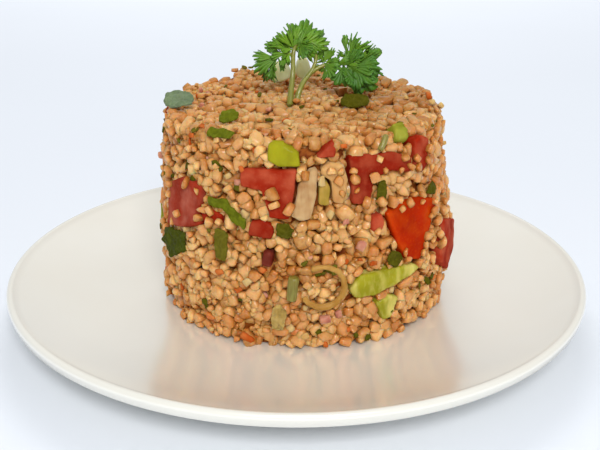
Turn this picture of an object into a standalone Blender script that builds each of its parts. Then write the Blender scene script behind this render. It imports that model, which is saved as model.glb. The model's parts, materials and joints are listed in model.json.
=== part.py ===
"""A moulded serving of kisir, a bulgur salad, turned out on its round plate and topped with parsley.

The frame is the plate's: the origin is the centre of its foot on the table, +Z is up, and the side that
is seen first faces -Y. Places on the salad are given as an azimuth in degrees, 0 at the front and
positive to the right, and a climb in millimetres: the height up the side, which carries on over the
rounded shoulder and then in across the top.
"""

import math
import random

import bmesh
import bpy
from mathutils import Euler, Matrix, Vector
from mathutils.geometry import delaunay_2d_cdt

MM = 0.001
GAP = 0.35  # between pieces that touch, in millimetres like every size below

# The plate: a coupe plate with a thick upturned lip and a low foot ring.
PLATE_RADIUS = 92.6
PLATE_HEIGHT = 14.9
PLATE_STEPS = 48
LIP_WIDTH = 2.4
LIP_DEPTH = 4.2
WELL_HEIGHT = 6.0
WELL_RADIUS = 50.0
WELL_RISE_POWER = 2.3
FOOT_RADIUS = 52.0
FOOT_WIDTH = 3.0
FOOT_HEIGHT = 2.2

# The salad: what a round mould leaves, narrower at the top and bulging low on the right.
CENTRE = (2.0, 0.0)
BASE_HEIGHT = WELL_HEIGHT + GAP
TOP_HEIGHT = 70.0
RADIUS = 45.4
BASE_NARROWING = 0.3
BASE_NARROW_BELOW = 20.0
TOP_NARROWING = 2.3
TOP_NARROW_ABOVE = 30.0
SHOULDER = 4.5
BULGE = 2.8
BULGE_HEIGHT = 27.0
BULGE_SPREAD = 15.0
SHOULDER_CLIMB = TOP_HEIGHT - SHOULDER
TOP_CLIMB = SHOULDER_CLIMB + SHOULDER * math.pi / 2

# Grains of bulgur: the core's surface has bumps of their size, and the proudest are fused on it.
GRAIN = 3.4
GRAIN_SPACING = 4.1
BUMP_IN = 1.0
BUMP_OUT = 0.9
GRAIN_COUNT = 26
GRAIN_OUT = 0.35
SEED = 7

# Low swells of the top, as (x, y, height, width).
TOP_LUMPS = (
    (-23, 33, 2.4, 9),
    (29, 31, 2.2, 9),
    (41, 12, 1.2, 6),
    (-6, -28, -0.8, 14),
    (14, 8, 0.8, 8),
)

# Cut pieces that the mould pressed flush: name, outline as (azimuth, climb), depth inwards, material.
CHUNKS = (
    ("tomato_left", ((-64, 36), (-52, 38), (-41, 41), (-41, 52.5), (-52, 53), (-62, 49.5)), 7, "tomato"),
    (
        "tomato_left_low",
        ((-39.5, 42.6), (-31.5, 42.4), (-31, 45.5), (-36, 46.9), (-39.8, 46.5)),
        5,
        "tomato",
    ),
    (
        "tomato_centre",
        ((-12, 47), (-5.3, 46.8), (-3.2, 56), (-2.8, 60.5), (-12, 60.5), (-23, 59.5), (-23, 55), (-15, 54.5)),
        7,
        "tomato",
    ),
    ("tomato_centre_low", ((-19.5, 41.5), (-11.5, 41), (-10.8, 44.3), (-14, 45.8), (-19, 45)), 5, "tomato"),
    ("tomato_tip", ((4.8, 64), (11, 64.4), (11.6, 68.3), (7.5, 66.6)), 3.6, "tomato"),
    (
        "tomato_right",
        ((18, 50.5), (24.4, 50), (25.5, 57), (33, 58.5), (43, 57), (43.5, 61), (34, 63.1), (17, 63.9)),
        7,
        "tomato",
    ),
    ("tomato_upper_right", ((46, 57), (50, 55.5), (54, 57), (55, 64), (50, 65.8), (46.5, 65)), 6, "tomato"),
    ("tomato_tail", ((25.5, 42), (29, 41.5), (30, 44.5), (29, 46.4), (25.5, 46)), 4, "tomato"),
    (
        "tomato_bright",
        ((40, 31), (46.5, 29.8), (50, 34), (56, 42), (62, 44.5), (50, 47.5), (35, 48), (31.5, 46), (36, 37)),
        7,
        "tomato_ripe",
    ),
    (
        "tomato_edge",
        ((60.5, 26), (64, 22.5), (74, 18), (84, 18.5), (88, 24), (86, 31), (74, 35), (64, 37.2), (60, 32)),
        7,
        "tomato",
    ),
    (
        "cucumber_top",
        ((-12.5, 63), (-9, 61.8), (-1.5, 61.8), (-2.5, 65.5), (-7, 67.3), (-12.8, 67.3)),
        3.6,
        "cucumber",
    ),
    (
        "cucumber_low",
        ((17.2, 25), (19, 22.4), (26, 22.2), (38, 24.8), (46, 27), (44, 28.5), (36, 29.3), (21, 29)),
        6,
        "cucumber",
    ),
    ("cucumber_wedge", ((31, 13.6), (33.8, 13.9), (37, 19.4), (32, 21), (27.3, 19.4)), 6, "cucumber"),
    ("pepper_strip", ((36.6, 66.8), (42.3, 66.4), (43.3, 71), (38.2, 71.5)), 3.5, "pepper"),
    (
        "onion_petal",
        ((-4.3, 47.6), (-1, 46.6), (2, 47.2), (3.6, 51), (4.6, 56), (4.7, 60.6), (2.4, 60.2), (-1.6, 56)),
        3.5,
        "onion",
    ),
    ("onion_green", ((5.4, 51), (8.8, 50.6), (9.6, 54.8), (8, 57.5), (5.7, 56)), 3.5, "onion_green"),
    (
        "onion_beige",
        ((11, 51.5), (14, 50.8), (16, 57.5), (13.8, 61.6), (9.6, 62.4), (6.6, 61), (6.3, 59.4), (9.8, 57.6)),
        3.5,
        "onion",
    ),
    ("onion_purple", ((-14.6, 32.6), (-11.6, 32.4), (-11.3, 36.4), (-14.2, 36.8)), 3, "onion_purple"),
    # The side that the first view doesn't reach, with the same mix.
    (
        "tomato_back_right",
        ((94, 49), (101, 47.5), (104, 54), (113, 55.5), (124, 54.5), (125, 59), (112, 62.5), (97, 62)),
        7,
        "tomato",
    ),
    (
        "cucumber_back_right",
        ((102, 26), (110, 22.5), (122, 22), (131, 25), (128, 28), (116, 27.5), (107, 31)),
        6,
        "cucumber",
    ),
    ("onion_back_right", ((126, 38), (130.5, 38.5), (132, 48), (129, 50.5), (126, 45)), 3.5, "onion"),
    ("tomato_back", ((139, 27), (149, 22.5), (160, 26), (163, 37), (156, 40), (149, 36)), 7, "tomato"),
    ("tomato_back_high", ((158, 55), (166, 50), (178, 53), (176, 58.5), (168, 59), (162, 64)), 7, "tomato"),
    (
        "cucumber_back_left",
        ((-163, 46), (-151, 41.5), (-142, 44), (-142, 48.5), (-150, 49), (-158, 54)),
        5,
        "cucumber",
    ),
    (
        "tomato_back_low",
        ((-159, 19), (-147, 13.5), (-132, 16), (-129, 24), (-137, 30.5), (-144, 25.5), (-155, 27)),
        7,
        "tomato_ripe",
    ),
    (
        "tomato_back_left",
        ((-127, 50), (-117, 46.5), (-110, 50.5), (-101, 49), (-99, 57), (-107, 62), (-124, 60)),
        7,
        "tomato",
    ),
    ("pepper_back_left", ((-99, 26), (-91, 23.5), (-87, 30), (-88, 38), (-94, 36)), 4, "pepper"),
)

# Leaves pressed flat against the side: name, outline as (azimuth, climb), material.
SIDE_LEAVES = (
    (
        "leaf_left",
        ((-71, 28.8), (-60, 26), (-49.5, 31), (-48.5, 36.8), (-58, 35.6), (-66, 34.2)),
        "parsley",
    ),
    ("leaf_olive", ((-33.5, 32.5), (-28.5, 32), (-27.5, 40.9), (-33, 41.3)), "leaf_olive"),
    (
        "leaf_ribbon",
        ((-37, 48), (-30, 47.8), (-26, 44.5), (-21.6, 43), (-20.9, 45.5), (-25, 48), (-29, 50.6), (-37, 50)),
        "spring_onion",
    ),
    ("leaf_centre", ((-9.3, 41.9), (-5, 41.4), (-3.5, 43.8), (-5.4, 45.8), (-9, 45.4)), "parsley"),
    ("leaf_right", ((26.4, 49.6), (29, 48.6), (31.2, 52), (30.6, 55.6), (28, 56), (26.6, 53.5)), "parsley"),
    ("leaf_low_right", ((31.5, 31), (35, 30.3), (38, 31.8), (36, 34.5), (33, 34.8), (31, 33)), "parsley"),
    ("leaf_far_right", ((53, 48.4), (57, 47.4), (60, 49), (58, 51.3), (54, 51)), "parsley"),
    ("leaf_base", ((-11.5, 13), (-7, 13), (-6, 19), (-8, 21), (-11, 20)), "leaf_olive"),
    ("leaf_back_high", ((139, 55.5), (148, 54.5), (153, 59), (147, 62.5), (140, 61)), "parsley"),
    ("leaf_back", ((170, 33), (177, 31.5), (179, 37), (175, 41.5), (169.5, 40)), "parsley"),
    ("leaf_back_left", ((-133, 37), (-124, 34), (-116, 38), (-119, 41.5), (-131, 40.5)), "spring_onion"),
    ("leaf_shoulder", ((-38, 67.2), (-28, 67.4), (-27, 69.6), (-32, 70.4), (-38, 69.6)), "spring_onion"),
)
LEAF_THICKNESS = 0.6
LEAF_OUT = 0.3  # from the bare core to a leaf's back
CHUNK_OUT = 0.45
SEAT_OUT = 5.0  # past the proudest grain
LONGEST_EDGE = 4.0  # of a piece's triangles before they are halved once
LEAF_WAVE = 0.25

# Round stems and rings let into the side: name, centre line as (azimuth, climb), radius, material.
RING_CENTRE = (6.9, 26.6)
RING_RADIUS = 6.3
RING_ARC = (-150, 120)
STEM_LINES = (
    ("stem_shoulder", ((31.9, 68.2), (30.4, 66.6), (28.8, 64.9)), 0.65, "spring_onion"),
    ("spring_onion_tube", ((-4.2, 22.8), (-3.8, 26), (-3.2, 29.6)), 1.45, "leaf_olive"),
)

# Pieces standing on the top: name, (x, y, z) of the lower edge's middle, width, length,
# thickness, lean from flat in degrees, turn in degrees, material.
TOP_PIECES = (
    ("leaf_top_left", (-35.2, -12, 69.9), 9.4, 8.2, LEAF_THICKNESS, 22, 8, "leaf_blue"),
    ("leaf_top_front", (-20.0, -29.5, 69.9), 5.6, 6, LEAF_THICKNESS, 24, -20, "spring_onion"),
    ("leaf_top_right", (16.8, -13, 70.2), 9.0, 7.6, LEAF_THICKNESS, 20, -12, "parsley"),
    ("onion_top_left", (-6.0, 17.5, 70.9), 7.4, 6.8, 1.6, 62, -10, "onion"),
    ("onion_top_right", (2.4, 20.5, 70.9), 5.2, 7.6, 1.6, 68, 15, "onion"),
)

# The parsley sprig: stems as centre lines in millimetres, and leaflets as
# (centre, radius, lobes, tilt and turn in degrees).
STEM_RADIUS = 0.85
SPRIG_STEMS = (
    ((-3.0, -3.0, 65), (-2.8, -1.5, 72), (-2.2, 0.5, 78), (-1.4, 1.5, 84.5), (-0.6, 2.6, 87)),
    ((-2.6, -2.6, 66), (-0.6, 0, 72), (3.2, 2, 77.5), (8.5, 3, 79.6), (14.5, 3.6, 80.4)),
    ((-2.2, 0.5, 78), (-6, 1.5, 79.5), (-10, 0.8, 80.6)),
    ((-6, 1.5, 79.5), (-8.2, 4.0, 77.4)),
    ((9.5, 3.1, 79.7), (12.6, -0.9, 77)),
    ((14.2, 3.6, 80.3), (19.4, 2.0, 79.4)),
)
LEAFLETS = (
    ((-10.5, 0.0, 81.0), 6.6, 5, 62, 20),
    ((-8.5, 4.5, 76.9), 5.0, 4, 50, -35),
    ((-3.8, 1.5, 87.0), 6.2, 5, 58, -20),
    ((2.2, 4.0, 87.0), 6.6, 5, 80, 30),
    ((7.6, 6.0, 80.8), 5.6, 4, 36, 0),
    ((14.4, 5.0, 83.6), 6.8, 5, 72, 20),
    ((20.0, 1.8, 79.4), 6.8, 5, 48, -30),
    ((13.0, -1.5, 76.9), 5.8, 4, 32, 35),
)
LEAFLET_THICKNESS = 0.6
LEAFLET_NOTCH = 0.26
LEAFLET_TEETH = 16

# Colours, as they look under plain daylight, with roughness.
FINISHES = {
    "glaze": ((238, 234, 226), 0.12),
    "bulgur": ((221, 166, 112), 0.55),
    "tomato": ((176, 58, 40), 0.3),
    "tomato_ripe": ((196, 52, 18), 0.25),
    "cucumber": ((176, 184, 72), 0.3),
    "pepper": ((128, 150, 62), 0.3),
    "onion": ((206, 192, 148), 0.35),
    "onion_green": ((178, 178, 98), 0.35),
    "onion_purple": ((112, 52, 62), 0.35),
    "leaf_olive": ((112, 118, 48), 0.5),
    "leaf_blue": ((110, 140, 115), 0.5),
    "spring_onion": ((96, 138, 58), 0.4),
    "parsley": ((66, 112, 42), 0.5),
}


def clear_scene():
    for old in list(bpy.data.objects):
        bpy.data.objects.remove(old)


def collection(name):
    made = bpy.data.collections.new(name)
    bpy.context.scene.collection.children.link(made)
    return made


def linear(colour):
    """A displayed colour of 0 to 255 as the shader's linear one."""
    return [((c / 255 + 0.055) / 1.055) ** 2.4 for c in colour]


def material(name):
    """The material of this name, made the first time it is asked for."""
    found = bpy.data.materials.get(name)
    if found:
        return found
    colour, roughness = FINISHES[name]
    made = bpy.data.materials.new(name)
    made.use_nodes = True
    shader = made.node_tree.nodes["Principled BSDF"]
    shader.inputs["Base Color"].default_value = (*linear(colour), 1)
    shader.inputs["Roughness"].default_value = roughness
    shader.inputs["Metallic"].default_value = 0
    return made


def add_object(name, mesh, finish, home):
    """An object in this collection that wears one finish and is shaded smooth but for its sharp edges."""
    made = bpy.data.objects.new(name, mesh)
    home.objects.link(made)
    mesh.materials.clear()
    mesh.materials.append(material(finish))
    mesh.shade_smooth()
    mesh.set_sharp_from_angle(angle=math.radians(40))
    return made


def add_cutter(name, mesh, home):
    made = bpy.data.objects.new(name, mesh)
    home.objects.link(made)
    made.hide_render = True
    made.display_type = "WIRE"
    return made


def mesh_from(bm, name):
    """The mesh of a bmesh worked in millimetres, with its faces turned out."""
    bmesh.ops.recalc_face_normals(bm, faces=bm.faces)
    if bm.calc_volume(signed=True) < 0:
        bmesh.ops.reverse_faces(bm, faces=bm.faces)
    bmesh.ops.scale(bm, vec=(MM, MM, MM), verts=bm.verts)
    mesh = bpy.data.meshes.new(name)
    bm.to_mesh(mesh)
    bm.free()
    return mesh


# Places on the salad


def side_radius(azimuth, height):
    """The bare core's radius at a height on its side: narrower at both ends, fuller low on the right."""
    above = max(0, height - TOP_NARROW_ABOVE) / (SHOULDER_CLIMB - TOP_NARROW_ABOVE)
    below = max(0, BASE_NARROW_BELOW - height) / (BASE_NARROW_BELOW - BASE_HEIGHT)
    right = max(0, math.sin(math.radians(azimuth))) ** 2
    bulge = BULGE * right * math.exp(-(((height - BULGE_HEIGHT) / BULGE_SPREAD) ** 2))
    return RADIUS - TOP_NARROWING * above**1.5 - BASE_NARROWING * below**2 + bulge


def top_swell(x, y):
    """How far the uneven top rises above its mean height, from the salad's own centre."""
    rise = sum(h * math.exp(-((x - cx) ** 2 + (y - cy) ** 2) / w**2) for cx, cy, h, w in TOP_LUMPS)
    return rise + 0.4 * math.sin(0.21 * x + 1) * math.cos(0.17 * y)


def slope(climb):
    """How far the surface has turned at a climb, in radians: 0 up the side, a right angle on the top."""
    return min(max(climb - SHOULDER_CLIMB, 0) / SHOULDER, math.pi / 2)


def place(azimuth, climb, out=0.0):
    """The point a distance out from the bare core, at an azimuth and a climb."""
    rim = side_radius(azimuth, SHOULDER_CLIMB) - SHOULDER
    turned = slope(climb)
    if climb <= SHOULDER_CLIMB:
        radius, height = side_radius(azimuth, climb) + out, climb
    else:
        radius = rim + (SHOULDER + out) * math.cos(turned) - max(climb - TOP_CLIMB, 0)
        height = SHOULDER_CLIMB + (SHOULDER + out) * math.sin(turned)
    angle = math.radians(azimuth)
    x, y = radius * math.sin(angle), -radius * math.cos(angle)
    return Vector((CENTRE[0] + x, CENTRE[1] + y, height + math.sin(turned) ** 4 * top_swell(x, y)))


# The plate


def plate_profile():
    """Points (radius, height) from the centre of the well, over the lip and back under to the axis."""
    inner_lip = PLATE_RADIUS - LIP_WIDTH
    rise = PLATE_HEIGHT - 0.7 - WELL_HEIGHT
    points = [(0, WELL_HEIGHT), (WELL_RADIUS, WELL_HEIGHT)]
    for share in (0.25, 0.45, 0.62, 0.77, 0.9, 1.0):
        radius = WELL_RADIUS + share * (inner_lip - WELL_RADIUS)
        points.append((radius, WELL_HEIGHT + rise * share**WELL_RISE_POWER))
    points += [
        (PLATE_RADIUS - 1.6, PLATE_HEIGHT - 0.1),
        (PLATE_RADIUS - 0.9, PLATE_HEIGHT),
        (PLATE_RADIUS - 0.2, PLATE_HEIGHT - 0.6),
        (PLATE_RADIUS, PLATE_HEIGHT - 1.6),
        (PLATE_RADIUS - 0.3, PLATE_HEIGHT - LIP_DEPTH + 0.9),
        (PLATE_RADIUS - 1.5, PLATE_HEIGHT - LIP_DEPTH),
        (PLATE_RADIUS - 12, PLATE_HEIGHT - LIP_DEPTH - 3.4),
        (FOOT_RADIUS + 10, FOOT_HEIGHT + 0.8),
        (FOOT_RADIUS + 1, FOOT_HEIGHT),
        (FOOT_RADIUS, 0),
        (FOOT_RADIUS - FOOT_WIDTH, 0),
        (FOOT_RADIUS - FOOT_WIDTH - 0.8, FOOT_HEIGHT),
        (0, FOOT_HEIGHT),
    ]
    return points


def make_plate(home):
    mesh = bpy.data.meshes.new("plate")
    points = [(radius * MM, 0, height * MM) for radius, height in plate_profile()]
    mesh.from_pydata(points, [(i, i + 1) for i in range(len(points) - 1)], [])
    plate = add_object("plate", mesh, "glaze", home)
    turned = plate.modifiers.new("turned", "SCREW")
    turned.steps = turned.render_steps = PLATE_STEPS
    turned.use_merge_vertices = True
    turned.merge_threshold = 1e-5
    turned.use_smooth_shade = True


# The salad's core and grains


def core_mesh(rng):
    """The moulded heap as one bumpy closed surface: staggered rows up the side, then the top and base."""
    bm = bmesh.new()
    columns = round(2 * math.pi * RADIUS / GRAIN_SPACING)
    climbs = [BASE_HEIGHT, BASE_HEIGHT + 1.6]
    rows = round((TOP_CLIMB - climbs[-1]) / (GRAIN_SPACING * 0.87))
    climbs += [climbs[1] + (TOP_CLIMB - climbs[1]) * (i + 1) / rows for i in range(rows)]
    rings = []
    for row, climb in enumerate(climbs):
        ring = []
        for column in range(columns):
            azimuth = 360 * (column + row % 2 / 2 + rng.uniform(-0.18, 0.18)) / columns
            bump = rng.uniform(-BUMP_IN, BUMP_OUT) if row else 0
            ring.append(bm.verts.new(place(azimuth, climb, bump)))
        rings.append(ring)
    for row, (low, high) in enumerate(zip(rings, rings[1:])):
        for column in range(columns):
            after = (column + 1) % columns
            if row % 2 == 0:
                bm.faces.new((low[column], low[after], high[column]))
                bm.faces.new((low[after], high[after], high[column]))
            else:
                bm.faces.new((low[column], low[after], high[after]))
                bm.faces.new((low[column], high[after], high[column]))
    cap_top(bm, rings[-1], rng)
    base = bm.faces.new(rings[0])
    bmesh.ops.poke(bm, faces=[base])
    return mesh_from(bm, "kisir_core")


def cap_top(bm, rim, rng):
    """Closes the top inside its rim with bumps spaced like those of the side."""
    verts = list(rim)
    flat = [Vector((v.co.x - CENTRE[0], v.co.y - CENTRE[1])) for v in rim]
    rim_radius = sum(p.length for p in flat) / len(flat)
    count = round(rim_radius / (GRAIN_SPACING * 0.87))
    for ring in range(1, count):
        radius = rim_radius * (1 - ring / count)
        around = max(6, round(2 * math.pi * radius / GRAIN_SPACING))
        for i in range(around):
            angle = 2 * math.pi * (i + 0.5 * (ring % 2) + rng.uniform(-0.15, 0.15)) / around
            x, y = radius * math.cos(angle), radius * math.sin(angle)
            bump = top_swell(x, y) + rng.uniform(-BUMP_IN, BUMP_OUT)
            verts.append(bm.verts.new((CENTRE[0] + x, CENTRE[1] + y, TOP_HEIGHT + bump)))
            flat.append(Vector((x, y)))
    loop = list(range(len(rim)))
    triangles = delaunay_2d_cdt(flat, [], [loop], 1, 1e-6)[2]
    for triangle in triangles:
        bm.faces.new([verts[i] for i in triangle])


def near_a_piece(azimuth, climb):
    """Whether a grain here would cover or cross one of the cut pieces, leaves, stems or the ring."""
    outlines = [row[1] for row in CHUNKS + SIDE_LEAVES + STEM_LINES] + [ring_line()]
    reach = GRAIN * 0.8
    wide = math.degrees(reach / RADIUS)
    for outline in outlines:
        azimuths = [a for a, _ in outline]
        climbs = [c for _, c in outline]
        beside = min(azimuths) - wide < azimuth < max(azimuths) + wide
        if beside and min(climbs) - reach < climb < max(climbs) + reach:
            return True
    return False


def near_the_top_pieces(point):
    spots = [(Vector(row[1][:2]), row[2] / 2) for row in TOP_PIECES]
    spots.append((Vector(SPRIG_STEMS[0][0][:2]), STEM_RADIUS))
    here = Vector((point.x, point.y))
    return any((here - spot).length < half + 2.5 * GRAIN for spot, half in spots)


def grain_mesh(point, rng):
    """One plump grain with few faces, turned any way."""
    size = GRAIN / 2 * rng.uniform(0.92, 1.1)
    spin = Euler([rng.uniform(0, math.pi) for _ in range(3)]).to_matrix().to_4x4()
    shape = Matrix.Diagonal((size * 1.12, size, size * 0.88, 1))
    bm = bmesh.new()
    put = Matrix.Translation(point) @ spin @ shape
    bmesh.ops.create_icosphere(bm, subdivisions=1, radius=1, matrix=put)
    return mesh_from(bm, "grain")


def add_grains(home, rng):
    """The proudest grains, on a spiral from the middle of the top down to the base."""
    golden_turn = 180 * (3 - math.sqrt(5))
    middle = TOP_CLIMB + RADIUS - SHOULDER
    lowest = BASE_HEIGHT + GRAIN
    for i in range(GRAIN_COUNT):
        climb = middle - math.sqrt((i + 0.5) / GRAIN_COUNT) * (middle - lowest)
        azimuth = (i * golden_turn) % 360 - 180
        point = place(azimuth, climb, GRAIN_OUT)
        if not near_a_piece(azimuth, climb) and not near_the_top_pieces(point):
            grain = bpy.data.objects.new(f"grain_{i}", grain_mesh(point, rng))
            home.objects.link(grain)


def apply_modifiers(thing):
    """Replaces the object's mesh with what its modifiers make of it."""
    graph = bpy.context.evaluated_depsgraph_get()
    mesh = bpy.data.meshes.new_from_object(thing.evaluated_get(graph))
    thing.modifiers.clear()
    thing.data = mesh
    return mesh


def drop_scraps(mesh):
    """Keeps only the largest connected piece of a mesh."""
    bm = bmesh.new()
    bm.from_mesh(mesh)
    left, groups = set(bm.verts), []
    while left:
        group, edge = set(), [left.pop()]
        while edge:
            vert = edge.pop()
            group.add(vert)
            for near in (e.other_vert(vert) for e in vert.link_edges):
                if near in left:
                    left.remove(near)
                    edge.append(near)
        groups.append(group)
    keep = max(groups, key=len)
    bmesh.ops.delete(bm, geom=[v for v in bm.verts if v not in keep], context="VERTS")
    bm.to_mesh(mesh)
    bm.free()


def join_collection(thing, others, operation):
    """Joins or cuts the object with a whole collection, and applies it."""
    modifier = thing.modifiers.new(operation.lower(), "BOOLEAN")
    modifier.operation = operation
    modifier.operand_type = "COLLECTION"
    modifier.collection = others
    modifier.solver = "EXACT"
    return apply_modifiers(thing)


def make_kisir(home, seats):
    rng = random.Random(SEED)
    core = core_mesh(rng)
    kisir = add_object("kisir", core, "bulgur", home)
    grains = collection("grains")
    add_grains(grains, rng)
    join_collection(kisir, grains, "UNION")
    for grain in list(grains.objects):
        bpy.data.objects.remove(grain)
    bpy.data.collections.remove(grains)
    drop_scraps(join_collection(kisir, seats, "DIFFERENCE"))


# Pieces set in the salad


def widen(bm, gap):
    """Moves the border of a flat mesh outwards by a gap, keeping its triangles."""
    outward = {v: [] for v in bm.verts if v.is_boundary}
    for edge in (e for e in bm.edges if e.is_boundary):
        along = (edge.verts[1].co - edge.verts[0].co).normalized()
        side = Vector((along.y, -along.x, 0))
        middle = (edge.verts[0].co + edge.verts[1].co) / 2
        if side.dot(middle - edge.link_faces[0].calc_center_median()) < 0:
            side.negate()
        for v in edge.verts:
            outward[v].append(side)
    for v, (one, other) in outward.items():
        corner = (one + other).normalized()
        v.co += corner * gap / max(corner.dot(one), 0.4)


def slab(outline, low, high, put, gap=0.0):
    """A closed slab on an outline, with extra points inside, each placed by put(x, y, out)."""
    bm = bmesh.new()
    face = bm.faces.new([bm.verts.new((p.x, p.y, 0)) for p in outline])
    bmesh.ops.triangulate(bm, faces=[face])
    long = [e for e in bm.edges if e.calc_length() > LONGEST_EDGE]
    bmesh.ops.subdivide_edges(bm, edges=long, cuts=1, use_grid_fill=True)
    bmesh.ops.triangulate(bm, faces=bm.faces)
    widen(bm, gap)
    lower = list(bm.verts)
    raised = bmesh.ops.extrude_face_region(bm, geom=list(bm.faces), use_keep_orig=True)["geom"]
    upper = [v for v in raised if isinstance(v, bmesh.types.BMVert)]
    for verts, out in ((lower, low), (upper, high)):
        for v in verts:
            v.co = put(v.co.x, v.co.y, out)
    return bm


def on_side(outline, wave):
    """Places slab points, given in millimetres round and up the side, with an even waviness."""
    arc = math.radians(RADIUS)
    turned = slope(sum(p.y for p in outline) / len(outline))

    def put(x, y, out):
        angle = math.radians(x / arc)
        away = Vector((math.sin(angle), -math.cos(angle), 0)) * math.cos(turned)
        away.z = math.sin(turned)
        return place(x / arc, y) + away * (out + wave * math.sin(0.9 * x + 0.5 * y))

    return put


def unrolled(outline):
    arc = math.radians(RADIUS)
    return [Vector((azimuth * arc, climb)) for azimuth, climb in outline]


def make_chunks(home, seats):
    for name, outline, depth, finish in CHUNKS:
        flat = unrolled(outline)
        put = on_side(flat, 0)
        piece = slab(flat, -depth, CHUNK_OUT, put)
        add_object(name, mesh_from(piece, name), finish, home)
        seat = slab(flat, -depth - GAP, SEAT_OUT, put, GAP)
        add_cutter(f"seat_{name}", mesh_from(seat, name), seats)


def make_side_leaves(home, seats):
    for name, outline, finish in SIDE_LEAVES:
        flat = unrolled(outline)
        put = on_side(flat, LEAF_WAVE)
        piece = slab(flat, LEAF_OUT, LEAF_OUT + LEAF_THICKNESS, put)
        add_object(name, mesh_from(piece, name), finish, home)
        seat = slab(flat, LEAF_OUT - GAP, SEAT_OUT, put, GAP)
        add_cutter(f"seat_{name}", mesh_from(seat, name), seats)


def tube_mesh(name, line, radius, resolution=1):
    """A round rod along a line of points in millimetres, as a closed mesh."""
    curve = bpy.data.curves.new(name, "CURVE")
    curve.dimensions = "3D"
    curve.bevel_depth = radius * MM
    curve.bevel_resolution = resolution
    curve.use_fill_caps = True
    spline = curve.splines.new("POLY")
    spline.points.add(len(line) - 1)
    for point, co in zip(spline.points, line):
        point.co = (*(Vector(co) * MM), 1)
    rod = bpy.data.objects.new(name, curve)
    bpy.context.scene.collection.objects.link(rod)
    graph = bpy.context.evaluated_depsgraph_get()
    mesh = bpy.data.meshes.new_from_object(rod.evaluated_get(graph))
    bpy.data.objects.remove(rod)
    bm = bmesh.new()
    bm.from_mesh(mesh)
    bmesh.ops.remove_doubles(bm, verts=bm.verts, dist=1e-6)
    bm.to_mesh(mesh)
    bm.free()
    return mesh


def ring_line():
    """The onion ring's centre line as (azimuth, climb), from one cut end round to the other."""
    arc = math.radians(RADIUS)
    steps = 11
    start, end = (math.radians(a) for a in RING_ARC)
    angles = [start + (end - start) * i / steps for i in range(steps + 1)]
    return [
        (RING_CENTRE[0] + RING_RADIUS * math.cos(a) / arc, RING_CENTRE[1] + RING_RADIUS * math.sin(a))
        for a in angles
    ]


def make_rods(home, seats):
    rods = [("onion_ring", ring_line(), 0.8, "onion"), *STEM_LINES]
    for name, line, radius, finish in rods:
        points = [place(azimuth, climb, 0.5) for azimuth, climb in line]
        add_object(name, tube_mesh(name, points, radius), finish, home)
        ends = [points[0] + (points[0] - points[1]).normalized() * GAP]
        ends.append(points[-1] + (points[-1] - points[-2]).normalized() * GAP)
        seat = tube_mesh(name, [ends[0], *points[1:-1], ends[1]], radius + 2 * GAP)
        add_cutter(f"seat_{name}", seat, seats)


def oval(width, length, corners=10):
    """A leaf's or slice's outline, from its lower edge, a little narrower at the far end."""
    points = []
    for i in range(corners):
        angle = 2 * math.pi * i / corners
        y = length / 2 * (1 + math.sin(angle))
        points.append(Vector((width / 2 * math.cos(angle) * (1.08 - 0.2 * y / length), y)))
    return points


def leaning(spot, lean, turn, wave):
    """Places slab points on a plane that stands on the top, leaning back from the front."""
    spin = Matrix.Rotation(math.radians(turn), 3, "Z") @ Matrix.Rotation(math.radians(lean), 3, "X")

    def put(x, y, out):
        return Vector(spot) + spin @ Vector((x, y, out + wave * math.sin(0.8 * x + 0.6 * y)))

    return put


def make_top_pieces(home, seats):
    for name, spot, width, length, thick, lean, turn, finish in TOP_PIECES:
        outline = oval(width, length)
        put = leaning(spot, lean, turn, 0.3)
        piece = slab(outline, -thick / 2, thick / 2, put)
        add_object(name, mesh_from(piece, name), finish, home)
        half = thick / 2 + GAP
        seat = slab(outline, -half, half + (4 if lean < 45 else 0), put, GAP)
        add_cutter(f"seat_{name}", mesh_from(seat, name), seats)


# The parsley sprig


def leaflet(radius, lobes):
    """An open disc of two rings, drawn out into toothed lobes and curled like curly parsley."""
    bm = bmesh.new()
    bmesh.ops.create_circle(bm, cap_ends=True, cap_tris=True, segments=LEAFLET_TEETH, radius=radius)
    centre = min(bm.verts, key=lambda v: v.co.length)
    bmesh.ops.subdivide_edges(bm, edges=list(centre.link_edges), cuts=1)
    bmesh.ops.triangulate(bm, faces=bm.faces)
    for v in bm.verts:
        share = v.co.length / radius
        angle = math.atan2(v.co.y, v.co.x)
        tooth = round(angle / (2 * math.pi) * LEAFLET_TEETH) % 2
        lobe = 0.9 + 0.1 * math.cos(lobes * angle)
        v.co *= lobe * (1 - LEAFLET_NOTCH * tooth * (share > 0.9))
        v.co.z = radius * share**2 * (0.16 * math.sin(3 * angle + 1) + 0.16 * math.cos(5 * angle))
    return bm


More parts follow.
